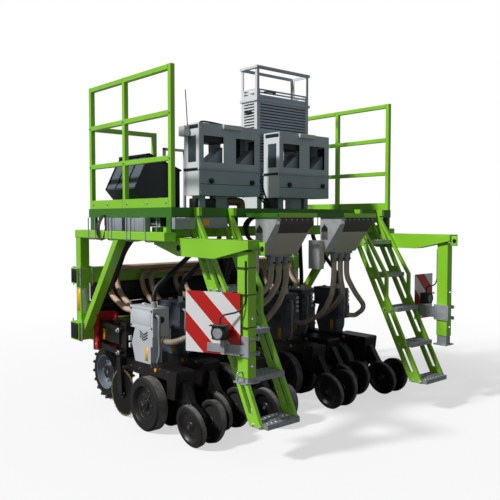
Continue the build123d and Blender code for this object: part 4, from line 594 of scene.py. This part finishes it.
def banded_film(name, red, white, band):
    """Reflective film in bands that slope at 45 degrees, from the board's own UV map in metres."""
    made, tree, place = new_material(name)
    axes = add(tree, "SeparateXYZ", (add(tree, "UVMap", uv_map="film"),))
    climb = add(tree, "Math", (axes.outputs["X"], axes.outputs["Y"]), operation="ADD")
    count = add(tree, "Math", (climb, 1 / (2 * band)), operation="MULTIPLY")
    part = add(tree, "Math", (count,), operation="FRACT")
    which = add(tree, "Math", (part, 0.5), operation="GREATER_THAN")
    cell = add(tree, "TexVoronoi", {"Vector": place, "Scale": 1 / 0.006})
    glint = add(tree, "MapRange", (cell.outputs["Distance"], 0, 1, 0.92, 1.04))
    colour = add(tree, "Mix", {"Factor": which, "A": linear(white), "B": linear(red)}, data_type="RGBA")
    shown = add(tree, "VectorMath", {0: colour, "Scale": glint}, operation="SCALE")
    return surfaced(made, {"Base Color": shown, "Roughness": 0.32, "Coat Weight": 0.3})


BAND, BOARD = 0.141, 0.423
LEFT_EDGE, LEFT_TURN = Vector((-1.2485, LEG_Y, 0)), math.radians(113.5)
LEFT_ALONG = Vector((math.cos(LEFT_TURN), math.sin(LEFT_TURN), 0))
red_white_film = banded_film("reflective_red_white_film", "#BE1A14", "#E6E5E6", BAND)
boards = bmesh.new()
boards.from_mesh(nodes["warning_panels"].data)
bmesh.ops.remove_doubles(boards, verts=boards.verts, dist=1e-5)
bottoms = {side: min(vert.co.z for vert in boards.verts if vert.co.x * side > 0) for side in SIDES}
right_edge = min(vert.co.x for vert in boards.verts if vert.co.x > 0)
film = boards.loops.layers.uv.new("film")
for face in boards.faces:
    left = face.calc_center_median().x < 0
    for loop in face.loops:
        place = loop.vert.co
        along = BOARD - (place - LEFT_EDGE).dot(LEFT_ALONG) if left else place.x - right_edge
        loop[film].uv = (along, place.z - bottoms[-1 if left else 1])
panels = piece("warning_panel_boards", boards, red_white_film, sharp=0.4)
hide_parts("warning_panels")

lens = moulded("clear_lamp_lens", "#A4ADB2", 0.08, 0.03, 0.0)
lamp_hoods = bmesh.new()
left_lamp = Matrix.Translation(LEFT_EDGE) @ Matrix.Rotation(LEFT_TURN, 4, "Z")
right_lamp = Matrix.Translation((1.2145, -0.989, 0)) @ Matrix.Rotation(math.pi, 4, "Z")
for local, along, z in ((left_lamp, 0.115, 0.933), (right_lamp, 0.0, 0.943)):
    slab(lamp_hoods, (along - 0.052, 0.034, z - 0.050), (along + 0.052, 0.104, z + 0.052), 0.010, local)
    slab(lamp_hoods, (along - 0.056, 0.096, z + 0.044), (along + 0.056, 0.128, z + 0.054), 0.003, local)
    ahead = local.to_3x3() @ Vector((0, 1, 0))
    turned(lamp_hoods, disc(0.034, -0.02, 0.006, 0.004), local @ Vector((along, 0.104, z)), ahead, skin=1)
    turned(lamp_hoods, [(0, 0.033), (0.014, 0.036), (0.017, 0.043), (0.014, 0.049), (0, 0.049)],
           local @ Vector((along, 0.100, z)), ahead)
piece("marker_lamps", lamp_hoods, black_plastic, lens)


# Metering modules: two cabinets in slate grey powder coat with bare metal ends, folded skirts and cut windows that
# show the seed chutes. Dark panes close the end windows, knobs, light hoods and an aerial are screwed on, black cables
# hang between them, and a grab frame of square tube stands on the floor in front.
def recoloured(made, share, colour):
    """Mix another colour into a finish by a share from 0 to 1."""
    tree = made.node_tree
    surface = next(node for node in tree.nodes if node.bl_idname == "ShaderNodeBsdfPrincipled")
    shown = surface.inputs["Base Color"].links[0].from_socket
    mixed = add(tree, "Mix", {"Factor": share, "A": shown, "B": linear(colour)}, data_type="RGBA")
    tree.links.new(next(out for out in mixed.outputs if out.enabled), surface.inputs["Base Color"])
    return made


def bare_ended(name, colour, bare):
    """Powder coat on the long faces, and bare sheet on the ends that face left and right."""
    made = moulded(name, colour, 0.42, 0.05, 0.10)
    tree = made.node_tree
    lean = add(tree, "Math", (axis_of(tree, "X", "NewGeometry", "Normal"),), operation="ABSOLUTE")
    end = add(tree, "Math", (lean, 0.8), operation="GREATER_THAN")
    return recoloured(made, end, bare)


slate = bare_ended("slate_grey_powder_coat", "#A9B4C0", "#DCDEE0")
skirt_slate = bare_ended("dark_slate_powder_coat", "#98A5B3", "#DCDEE0")
pale_sheet = moulded("pale_grey_sheet", "#C4C7CA", 0.4, 0.04, 0.05)
dark_pane = moulded("tinted_window_pane", "#3C464F", 0.12, 0.03, 0.0)
finish(skirt_slate, "module_skirts")
finish(slate, "module_covers")
MODULE_STARTS, MODULE_WIDTH, REAR, FRONT = (-0.80, 0.12), 0.68, -0.20, 0.02
SPLIT, TOP, KNOB_Z = 2.115, 2.489, 2.007
PANE_LOW, PANE_HIGH = (-0.161, 2.162), (-0.043, 2.388)
panes, knobs, hoods = bmesh.new(), bmesh.new(), bmesh.new()
for start in MODULE_STARTS:
    end = start + MODULE_WIDTH
    for x in (start + 0.001, end - 0.004):
        slab(panes, (x, *PANE_LOW), (x + 0.003, *PANE_HIGH), 0.0006)
    for offset in (0.126, 0.581):
        turned(knobs, disc(0.022, -0.004, 0.022, 0.004), (start + offset, REAR, KNOB_Z), REARWARD, 18)
        turned(knobs, disc(0.010, 0.0, 0.030, 0.002), (start + offset, REAR, KNOB_Z), REARWARD, 14)
    # The skirt's seam, the seal under the cover, the end's vent, two dark blocks inside, and the lamp hood.
    slab(knobs, (start + 0.012, REAR - 0.0012, 1.979), (end - 0.012, REAR, 1.983), 0.0004)
    slab(knobs, (start - 0.0075, REAR + 0.01, SPLIT - 0.020), (start, FRONT - 0.01, SPLIT), 0.001)
    slab(knobs, (start - 0.002, REAR + 0.01, TOP - 0.045), (start, FRONT - 0.03, TOP - 0.012), 0.0008)
    slab(knobs, (start + 0.006, REAR + 0.02, 2.335), (start + 0.30, FRONT - 0.02, TOP - 0.006), 0.004)
    slab(knobs, (start + 0.46, FRONT - 0.04, 2.13), (start + 0.60, FRONT - 0.006, TOP - 0.006), 0.004)
    slab(hoods, (start + 0.248, REAR - 0.0265, TOP - 0.037), (start + 0.456, REAR, TOP + 0.0015), 0.003)
# The aerial's box on the left end, and three dark blocks on the floor under the cabinets.
slab(hoods, (-0.860, -0.075, 2.385), (-0.800, 0.010, 2.470), 0.006)
slab(knobs, (-0.790, -0.13, FLOOR_TOP), (-0.520, -0.04, 1.862), 0.008)
slab(knobs, (0.060, -0.14, FLOOR_TOP), (0.165, -0.04, 1.880), 0.008)
slab(knobs, (0.44, -0.13, FLOOR_TOP), (0.52, -0.05, 1.880), 0.006)
piece("module_end_panes", panes, dark_pane)
piece("module_knobs", knobs, black_plastic)
piece("module_hoods", hoods, pale_sheet)
module_spots = [((x, y, z), (0, way, 0)) for start in MODULE_STARTS
                for x in (start + 0.018, start + 0.34, start + MODULE_WIDTH - 0.018)
                for z in (1.91, 2.09, 2.14, 2.44) for y, way in ((REAR, -1), (FRONT, 1))]
bolts("module_screws", module_spots, 0.009)
ROD_FOOT = Vector((-0.808, -0.050, 2.465))
rod = [ROD_FOOT + Vector(lean) for lean in ((0, 0, 0), (-0.004, 0.005, 0.15), (-0.010, 0.015, 0.31))]
wires("aerial_rod", [rod], 0.004, black_plastic)
TOP_CABLE_Z = TOP - 0.003
cable_runs = [
    [(-0.70, -0.06, TOP_CABLE_Z), (-0.69, -0.06, 2.525), (-0.60, -0.07, 2.522), (-0.52, -0.08, 2.515),
     (-0.42, -0.10, 2.500), (-0.36, -0.10, TOP_CABLE_Z)],
    [(-0.12, -0.10, 2.20), (-0.06, -0.10, 2.18), (-0.03, -0.08, 2.05), (-0.02, -0.06, 1.90), (0.05, -0.08, 1.86),
     (0.10, -0.09, 1.85)],
    [(-0.12, -0.14, 2.06), (-0.05, -0.14, 2.04), (0.00, -0.12, 1.93), (0.06, -0.09, 1.87), (0.10, -0.09, 1.83)],
    [(-0.12, -0.05, 1.93), (-0.06, -0.06, 1.92), (0.02, -0.08, 1.85), (0.08, -0.09, 1.80)]]
wires("module_cables", cable_runs, 0.008, black_plastic)
GRAB_REAR, GRAB_FRONT, GRAB_TOP, GRAB_BAR = 0.670, 0.695, 2.365, 0.025
grab_frame = bmesh.new()
for x in (-0.57, -0.335):
    slab(grab_frame, (x, GRAB_REAR, FLOOR_TOP), (x + GRAB_BAR, GRAB_FRONT, GRAB_TOP), 0.003)
slab(grab_frame, (-0.57, GRAB_REAR, GRAB_TOP - GRAB_BAR), (-0.31, GRAB_FRONT, GRAB_TOP), 0.003)
piece("grab_frame", grab_frame, pale_sheet)

# Seed tray tower: stacked louvred trays in slate grey, with dark sheets inside as painted shade behind the louvres,
# under an open frame for seed packets.
# Each tray has a black hand-grip at both ends, and the frame has a black carrying handle.
finish(slate, "seed_trays", "tray_top_frame")
grips, louvre_painted_shade = bmesh.new(), bmesh.new()
for low, high in solids("seed_trays"):
    mid_y, mid_z = (low.y + high.y) / 2, low.z + 0.62 * (high.z - low.z)
    for x, way in ((low.x, -1), (high.x, 1)):
        near, far = sorted((x, x + way * 0.010))
        slab(grips, (near, mid_y - 0.050, mid_z - 0.010), (far, mid_y + 0.050, mid_z + 0.010), 0.004)
    # Painted shade: a dark sheet inside each tray, behind the louvres.
    slab(louvre_painted_shade, (0.126, 0.116, max(low.z, 1.880) + 0.006), (0.814, 0.334, high.z - 0.030), 0.002)
piece("tray_hand_grips", grips, black_plastic)
piece("tray_liners", louvre_painted_shade, dark_pane)
HANDLE_LIFT = 0.06
tray_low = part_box("tray_top_frame")[0]
handle = [(x, tray_low.y - out, tray_low.z + HANDLE_LIFT) for x, out in (
    (0.20, 0), (0.20, 0.035), (0.22, 0.04), (0.30, 0.04), (0.32, 0.035), (0.32, 0))]
wires("tray_frame_handle", [handle], 0.008, black_plastic)

# Storage bin: a blue-black rotomoulded box with a sloping lid on a hinge. Grey panels between the ribs on its sloping
# left face, and grey strips below them, are painted highlight where the sun falls on that face.
bin_plastic = moulded("blue_black_bin_plastic", "#262C33", 0.35)
bin_painted_highlight = moulded("grey_painted_highlight_on_bin", "#59626D", 0.3, 0.04, 0.05)
finish(bin_plastic, "storage_bin", "bin_lid")
BIN_KNEE = Matrix.Translation((-1.20, 0, 1.94)) @ Matrix.Rotation(0.4566, 4, "Y")
RIB_START, RIB_STEP, RIB_WIDTH = 0.15, 0.16267, 0.012
bin_face_painted_highlights = bmesh.new()
for n in range(3):
    rear, front = RIB_START + n * RIB_STEP + RIB_WIDTH, RIB_START + (n + 1) * RIB_STEP
    slab(bin_face_painted_highlights, (-0.003, rear + 0.008, 0.095), (0.001, front - 0.008, 0.300), 0.001, BIN_KNEE)
    slab(bin_face_painted_highlights, (-0.003, rear + 0.001, 0.012), (0.001, front - 0.001, 0.062), 0.001, BIN_KNEE)
piece("bin_face_painted_highlights", bin_face_painted_highlights, bin_painted_highlight)

# Seed hoppers: folded and galvanised sheet, riveted below a green frame lip, with painted shade on the rear face: warm
# grey below and dark on the upper part. Grey moulded outlets are fixed below them, and black clips hold the seed tubes
# on.
PAINTED_SHADE_LOW = 1.575
hopper_zinc_painted_shade = zinc("galvanised_hopper_sheet_with_painted_shade", "#C2C4C7", 0.36)
tree = hopper_zinc_painted_shade.node_tree
# Painted shade on the hopper sheet: a warm grey on the rear faces, and dark grey on their upper part.
rear_painted_shade = add(tree, "Math", (axis_of(tree, "Y", "NewGeometry", "Normal"), -0.75), operation="LESS_THAN")
recoloured(hopper_zinc_painted_shade, rear_painted_shade, "#BDB4AC")
upper = add(tree, "Math", (axis_of(tree, "Z"), PAINTED_SHADE_LOW), operation="GREATER_THAN")
upper_rear_painted_shade = add(tree, "Math", (rear_painted_shade, upper), operation="MULTIPLY")
recoloured(hopper_zinc_painted_shade, upper_rear_painted_shade, "#4E4849")
finish(hopper_zinc_painted_shade, "seed_hoppers")
outlet_grey = moulded("grey_moulded_outlet", "#8A8D90", 0.45)
finish(outlet_grey, "hopper_outlets")
HOPPER_X, RIVET_Z, OUTLET_Y, CLIP_Z = 0.38, 1.682, -0.72, 1.335
CLIP_BAND = [(-0.009, 0.026), (-0.009, 0.0315), (0.009, 0.0315), (0.009, 0.026)]
hopper_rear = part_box("seed_hoppers")[0].y
lips, clips, rivets = bmesh.new(), bmesh.new(), []
for side in SIDES:
    middle = side * HOPPER_X
    # The lip strip lays the frame's own green over the deck's painted shade on the bar above each hopper.
    slab(lips, (middle - 0.215, -0.9475, 1.698), (middle + 0.215, -0.9435, 1.7345), 0.001)
    rivets += [((side * (0.20 + 0.06 * n), hopper_rear, RIVET_Z), REARWARD) for n in range(7)]
    for dx in (-0.085, 0.0, 0.085):
        x = middle + dx
        turned(clips, CLIP_BAND, (x, OUTLET_Y, CLIP_Z), UP, 22)
        slab(clips, (x - 0.006, OUTLET_Y - 0.046, CLIP_Z - 0.007), (x + 0.006, OUTLET_Y - 0.029, CLIP_Z + 0.007), 0.001)
piece("hopper_frame_lips", lips, green_paint)
bolts("hopper_rivets", rivets, 0.010)
piece("hopper_hose_clips", clips, black_plastic)

# Air fan: a black moulded scroll and its chest on the upper toolbar. A guard of welded wire rings and arms closes
# the inlet.
finish(black_plastic, "air_fan")
INLET_CENTRE, INLET_R, RING_STEPS = Vector((-0.121, 0.52, 1.23)), 0.12, 24
guard = [[INLET_CENTRE + radius * Vector((0, math.cos(a), math.sin(a)))
          for a in (math.tau * n / RING_STEPS for n in range(RING_STEPS + 1))] for radius in (0.03, 0.06, 0.09, 0.118)]
for n in range(4):
    arm = Vector((0, math.cos(math.pi * n / 4), math.sin(math.pi * n / 4))) * INLET_R
    guard.append([INLET_CENTRE - arm, INLET_CENTRE + arm])
wires("fan_inlet_guard", guard, 0.0022, bolt_zinc)


# Hoses: ribbed seed tubes in brownish clear plastic, beige air hoses, and black feed tubes that end in silver sleeves
# over the row units' boxes. A brown hose bends over the floor, a black one is hung up in a coil, a duct feeds the
# chest, and a loom of hydraulic hoses lies on the lower toolbar.
def ribbed_hose(name, colour, rib, roughness, clear=0.0):
    """Extruded hose with wound ribs that follow its height, and a cloudy wall."""
    made, tree, place = new_material(name)
    cloud = add(tree, "TexNoise", {"Vector": place, "Scale": 1 / 0.10, "Detail": 5})
    base = uneven(tree, colour, cloud, 0.3, 0.7, 0.82, 1.12)
    level = add(tree, "Math", (axis_of(tree, "Z"), math.tau / rib), operation="MULTIPLY")
    wave = add(tree, "Math", (level,), operation="SINE")
    bump = add(tree, "Bump", {"Height": wave, "Strength": 0.35, "Distance": 0.0015})
    return surfaced(made, {"Base Color": base, "Normal": bump, "Roughness": roughness, "Transmission Weight": clear})


tube_plastic = ribbed_hose("brownish_clear_seed_tube", "#B3A695", 0.012, 0.18, 0.35)
beige_hose = ribbed_hose("beige_air_hose", "#CDB096", 0.016, 0.38)
black_hose = ribbed_hose("black_feed_hose", "#1D1E20", 0.010, 0.42)
finish(tube_plastic, "seed_tubes")
finish(beige_hose, "air_hoses")
finish(black_hose, "feed_lines")
brown_hose = ribbed_hose("brown_platform_hose", "#7D6A55", 0.014, 0.35)
bend = [(x, -0.09, z) for x, z in (
    (-0.44, 1.768), (-0.44, 1.81), (-0.43, 1.838), (-0.40, 1.843), (-0.30, 1.843), (-0.26, 1.838), (-0.25, 1.81),
    (-0.25, 1.768))]
wires("platform_hose_bend", [bend], 0.038, brown_hose)
COIL_R, COIL_STEPS, COIL_LEAD = 0.10, 16, 0.004
coil = [Vector((-0.42 + COIL_R * math.cos(a), -0.50 + COIL_LEAD * a, 1.60 + COIL_R * math.sin(a)))
        for a in (math.tau * n / COIL_STEPS for n in range(41))]
wires("coiled_hose", [coil], 0.010, black_hose)
duct = [(-1.20, y, z) for y, z in (
    (-0.05, 1.767), (-0.05, 1.69), (0.06, 1.62), (0.24, 1.53), (0.38, 1.42), (0.47, 1.28), (0.58, 1.12), (0.70, 1.04),
    (0.79, 1.03))]
wires("chest_air_duct", [duct], 0.045, black_hose)
toolbar_low, toolbar_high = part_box("lower_toolbar")
POST_FACE, LOOM_TOP, LOOM_R, LOOM_LIFT, LOOM_HOSES = 1.291, 0.925, 0.019, 0.020, 6
loom_y = (toolbar_low.y + toolbar_high.y) / 2
loom = []
for n in range(LOOM_HOSES):
    z = toolbar_high.z + LOOM_LIFT + n * (LOOM_TOP - toolbar_high.z - LOOM_LIFT) / (LOOM_HOSES - 1)
    sway = [(-1.1 + 0.275 * k, loom_y + 0.012 * math.sin(2.1 * k + n), z + 0.010 * math.cos(1.7 * k + 2 * n))
            for k in range(9)]
    loom.append([(-POST_FACE, loom_y, z), *sway, (POST_FACE, loom_y, z)])
wires("hydraulic_hose_loom", loom, LOOM_R, black_hose)
boxes = solids("control_boxes")
BOX_TO_ROW_X, BOX_TO_ROW_Y = 0.04, 0.129
rows = [(low.x + BOX_TO_ROW_X, low.y + BOX_TO_ROW_Y) for low, high in boxes]
SLEEVE = [(0, 0.0195), (0, 0.0250), (0.052, 0.0235), (0.055, 0.0195)]
sleeves = bmesh.new()
for row, ahead in rows:
    turned(sleeves, SLEEVE, (row + 0.005, -0.076 + ahead, 0.962), UP, 20)
piece("feed_tube_sleeves", sleeves, bolt_zinc)

# Row units: cast heads in red enamel clamp on the toolbar and carry black parallel links, a mast, a spine and a rear
# box. A moulded metering housing and a control box with a corrugated cable hose stand on each spine. They are pale on
# the first row; on the other rows a slate grey stands for painted shade.
red_paint = coated_steel("red_enamel_on_cast_iron", "#C21A18", "#D86A60", 0.30, 0.15)
black_paint = coated_steel("black_enamel_on_steel", "#101012", "#3C3C3E", 0.30, 0.04)
FIRST_ROW_END = -0.98


def pale_first_row_then_painted_shade(name, own_colour, painted_shade_colour):
    """Moulded housings, pale on the first row from the left, with a slate grey of painted shade on the other rows."""
    made = moulded(name, own_colour, 0.42, 0.04, 0.08)
    tree = made.node_tree
    painted_shade_rows = add(tree, "Math", (axis_of(tree, "X"), FIRST_ROW_END), operation="GREATER_THAN")
    return recoloured(made, painted_shade_rows, painted_shade_colour)


# Painted shade: every row past the first takes the dark slate grey.
housing_grey_painted_shade = pale_first_row_then_painted_shade("grey_meter_housing_with_painted_shade", "#B8BCC1", "#4C545E")
light_grey = pale_first_row_then_painted_shade("grey_control_box_with_painted_shade", "#C2C6CA", "#4A525D")
amber = moulded("amber_reflector", "#E8901A", 0.2, 0.02, 0.0)
finish(red_paint, "head_brackets")
finish(black_paint, "parallel_links", "row_frames", "gauge_arms", "closing_frames", "wheel_legs")
finish(housing_grey_painted_shade, "meter_housings")
finish(light_grey, "control_boxes")
CLIP_COUNT, CLIP_LOW, CLIP_STEP, CLIP_HIGH = 4, 0.785, 0.042, 0.026
CHEVRON_COUNT, CHEVRON_LOW, CHEVRON_STEP, CHEVRON_LEAN, HOSE_Z = 3, 0.690, 0.022, 1.1, 0.905
box_trim, box_black, row_marks = bmesh.new(), bmesh.new(), bmesh.new()
cable_hoses, levers, row_spots, small_spots = [], [], [], []
for (low, high), (row, ahead) in zip(boxes, rows):
    left, rear, top = low.x, low.y, high.z
    # The control box's lid, side cover and cap, its plug and the socket of its cable hose.
    slab(box_trim, (left - 0.003, rear + 0.004, top - 0.014), (high.x + 0.003, high.y + 0.003, top + 0.004), 0.004)
    slab(box_trim, (left - 0.002, rear + 0.03, 0.815), (left, high.y - 0.03, 0.93), 0.001)
    turned(box_trim, disc(0.018, 0, 0.014, 0.003), (row + 0.062, high.y - 0.06, top + 0.003), UP, 20, skin=1)
    turned(box_black, disc(0.028, -0.003, 0.0015), (row + 0.045, rear, 0.865), REARWARD, 22)
    turned(box_black, disc(0.020, -0.003, 0.012, 0.003), (row - 0.012, rear, HOSE_Z), REARWARD, 18)
    cable_hoses.append([(row + x, rear + y, z) for x, y, z in (
        (-0.012, 0, HOSE_Z), (-0.012, -0.045, 0.912), (-0.008, -0.050, 0.86), (-0.004, -0.032, 0.76),
        (0.004, -0.030, 0.66), (0.010, -0.022, 0.57), (0.012, 0.02, 0.515))])
    small_spots += [((left, y, z), (-1, 0, 0)) for y in (rear + 0.018, high.y - 0.018) for z in (0.80, 0.94)]
    for n in range(CHEVRON_COUNT):
        for sign in SIDES:
            lean = Matrix.Translation((left, 0.010 + ahead, CHEVRON_LOW + CHEVRON_STEP * n))
            lean = lean @ Matrix.Rotation(sign * CHEVRON_LEAN, 4, "X")
            slab(box_black, (-0.004, -0.005, 0.0), (0.001, 0.005, 0.066), 0.002, lean)
    # Blank stickers on the housing and the head, white latches, an amber reflector, and clips on the boxes in painted
    # shade.
    slab(row_marks, (left - 0.0008, -0.055 + ahead, 0.525), (left, -0.012 + ahead, 0.635), 0.0003)
    slab(row_marks, (row - 0.0608, 0.625, 0.612), (row - 0.060, 0.668, 0.712), 0.0003)
    for z in (0.60, 0.66):
        slab(row_marks, (left - 0.010, 0.215 + ahead, z), (left + 0.012, 0.235 + ahead, z + 0.04), 0.002, skin=1)
    turned(row_marks, disc(0.016, -0.002, 0.008, 0.002), (row - 0.086, -0.24 + ahead, 0.492), (-1, 0, 0), 18, skin=2)
    for n in range(CLIP_COUNT if row > FIRST_ROW_END else 0):
        z = CLIP_LOW + CLIP_STEP * n
        slab(row_marks, (high.x - 0.030, rear - 0.014, z), (high.x - 0.002, rear + 0.002, z + CLIP_HIGH), 0.003, skin=1)
    levers.append([(row - x, y, z) for x, y, z in (
        (0.112, 0.735, 0.79), (0.125, 0.715, 0.815), (0.128, 0.65, 0.83), (0.128, 0.62, 0.832))])
    for sign in SIDES:
        out = (sign, 0, 0)
        row_spots += [((row + sign * 0.092, y, z), out) for y, z in (
            (0.712, 0.76), (0.712, 0.565), (0.342 + ahead, 0.735), (0.342 + ahead, 0.54))]
        small_spots += [((row + sign * 0.086, y + ahead, 0.506), out) for y in (-0.18, -0.30, -0.42)]
        small_spots += [((row + sign * 0.060, y + ahead * 0.5, 0.706), out) for y in (0.44, 0.58)]
        small_spots += [((row + sign * 0.045, y + ahead, 0.450), out) for y in (-0.10, 0.06, 0.20)]
piece("control_box_covers", box_trim, light_grey, white_film)
piece("control_box_fittings", box_black, black_plastic)
piece("row_unit_stickers", row_marks, orange_film, white_film, amber)
grey_conduit = ribbed_hose("grey_corrugated_conduit", "#8C9094", 0.008, 0.5)
wires("cable_conduits", cable_hoses, 0.012, grey_conduit)
wires("head_levers", levers, 0.008, red_paint)
bolts("link_pins", row_spots, 0.026)
dull_bolt = zinc("dull_steel_bolts", "#56575A", 0.5)
bolts("row_unit_screws", small_spots, 0.013, dull_bolt)


# Wheels: tyres of worn rubber on dished steel discs. The gauge wheels run beside the opener discs, the closing wheels
# lean in behind them, and two lugged carrier wheels stand under the front toolbar.
def tyre_rubber(name, side, tread):
    """Rubber that is black on its walls and rubbed grey with dust on its tread, which turns with the wheel."""
    made, tree, place = new_material(name)
    lean = add(tree, "Math", (axis_of(tree, "X", "NewGeometry", "Normal"),), operation="ABSOLUTE")
    round_face = add(tree, "MapRange", (lean, 0.70, 0.30))
    cloud = add(tree, "TexNoise", {"Vector": place, "Scale": 1 / 0.05, "Detail": 6, "Roughness": 0.65})
    rubbed = add(tree, "MapRange", (cloud, 0.35, 0.65, 0.45, 1.0))
    share = add(tree, "Math", (round_face, rubbed), operation="MULTIPLY")
    colour = add(tree, "Mix", {"Factor": share, "A": linear(side), "B": linear(tread)}, data_type="RGBA")
    grain = add(tree, "TexNoise", {"Vector": place, "Scale": 1 / 0.006, "Detail": 3})
    bump = add(tree, "Bump", {"Height": grain, "Strength": 0.15, "Distance": 0.001})
    return surfaced(made, {"Base Color": colour, "Normal": bump, "Roughness": 0.78})


def coulter_steel(name, hub, dull, bright):
    """Disc steel that the soil has scoured bright towards its edge, about the hub's y and z."""
    made, tree, place = new_material(name)
    flat = add(tree, "VectorMath", (place, (0, 1, 1)), operation="MULTIPLY")
    reach = add(tree, "VectorMath", (flat, (0, *hub)), operation="DISTANCE")
    streak = add(tree, "TexNoise", {"Vector": place, "Scale": 1 / 0.03, "Detail": 6})
    edge = add(tree, "Math", (streak, 0.03, reach), operation="MULTIPLY_ADD")
    worn = add(tree, "MapRange", (edge, 0.194, 0.212))
    colour = add(tree, "Mix", {"Factor": worn, "A": linear(dull), "B": linear(bright)}, data_type="RGBA")
    return surfaced(made, {"Base Color": colour, "Metallic": 0.65, "Roughness": 0.42})


rubber = tyre_rubber("worn_tyre_rubber", "#0E0E0F", "#7A7873")
rim_black = coated_steel("black_enamel_wheel_disc", "#131314", "#3E3E40", 0.36, 0.06)
rim_grey = coated_steel("blue_grey_enamel_rim", "#6C7884", "#9AA3AB", 0.40, 0.2)
GAUGE_DISH = [(0.0445, 0), (0.0445, 0.035), (0.041, 0.043), (0.026, 0.048), (0.016, 0.075), (0.013, 0.115),
              (0.020, 0.130), (0.046, 0.141), (0.0565, 0.149), (0.0565, 0.153), (0.054, 0.153), (0.044, 0.145),
              (0.009, 0.132), (0.0085, 0.050), (0.0085, 0)]
CLOSING_DISH = [(0.0175, 0), (0.0175, 0.029), (0.0145, 0.035), (0.0085, 0.040), (0.0078, 0.098), (0.018, 0.112),
                (0.0288, 0.121), (0.0288, 0.124), (0.0268, 0.124), (0.016, 0.116), (0.0062, 0.102), (0.0062, 0)]
CARRIER_DISH = [(0.062, 0), (0.062, 0.050), (0.056, 0.062), (0.030, 0.066), (0.026, 0.085), (0.033, 0.090),
                (0.033, 0.096), (0.024, 0.102), (0.024, 0.118), (0.031, 0.123), (0.031, 0.129), (0.050, 0.142),
                (0.0865, 0.153), (0.0865, 0.158), (0.083, 0.158), (0.046, 0.148), (0.012, 0.135), (0.012, 0)]
CAMBER, CLOSING_R, CLOSING_HALF = math.radians(10), 0.16, 0.028
CLOSING_Z = CLOSING_R * math.cos(CAMBER) + CLOSING_HALF * math.sin(CAMBER)
CARRIER_X, CARRIER_Y, CARRIER_Z = 1.02, 0.87, 0.255


def wheel_bolts(shape, centre, axis, along, radius, count, across):
    """A ring of hexagon heads on a wheel's face, in the piece's second finish."""
    spin = Vector(axis).normalized().to_track_quat("X", "Z")
    for n in range(count):
        angle = math.tau * n / count
        spot = Vector(centre) + spin @ Vector((0, radius * math.cos(angle), radius * math.sin(angle)))
        turned(shape, disc(across * 0.577, along - 0.002, along + across * 0.6, 0.0015), spot, axis, 6, skin=1)


for i, (row, ahead) in enumerate(rows, 1):
    gang = bmesh.new()
    for side in SIDES:
        centre, axis = (row + side * 0.108, -0.166 + ahead, 0.215), (side, 0, 0)
        turned(gang, GAUGE_DISH, centre, axis, 36)
        wheel_bolts(gang, centre, axis, 0.016, 0.075, 6, 0.015)
        wheel_bolts(gang, centre, axis, 0.044, 0, 1, 0.026)
    piece(f"gauge_discs_{i}", gang, rim_black, dull_bolt, body=f"gauge_gang_{i}")
    finish(rubber, f"gauge_gang_{i}")
    for side, name in SIDE_NAMES:
        wheel = f"closing_wheel_{i}_{name}"
        centre = (row + side * 0.092, -0.725 + ahead, CLOSING_Z)
        axis = (side * math.cos(CAMBER), 0, -math.sin(CAMBER))
        cover = bmesh.new()
        turned(cover, CLOSING_DISH, centre, axis, 32)
        wheel_bolts(cover, centre, axis, 0.017, 0, 1, 0.024)
        piece(f"closing_disc_{i}_{name}", cover, rim_black, dull_bolt, body=wheel)
        finish(rubber, wheel)
    hub = (0.29 + ahead, 0.205)
    finish(coulter_steel(f"scoured_coulter_steel_{i}", hub, "#242320", "#A8946C"), f"coulter_disc_{i}")
    hub_cap = bmesh.new()
    for side, end in ((-1, 0.012), (1, 0.010)):
        wheel_bolts(hub_cap, (row - 0.075, *hub), (side, 0, 0), end, 0.030, 5, 0.014)
    piece(f"coulter_bolts_{i}", hub_cap, bolt_zinc, bolt_zinc, body=f"coulter_disc_{i}")
for side, name in SIDE_NAMES:
    wheel = f"carrier_wheel_{name}"
    finish(rubber, wheel)
    cover = bmesh.new()
    for way in SIDES:
        centre, axis = (side * CARRIER_X, CARRIER_Y, CARRIER_Z), (way, 0, 0)
        turned(cover, CARRIER_DISH, centre, axis, 40)
        wheel_bolts(cover, centre, axis, 0.030, 0.110, 6, 0.018)
    piece(f"carrier_rim_{name}", cover, rim_grey, bolt_zinc, body=wheel)
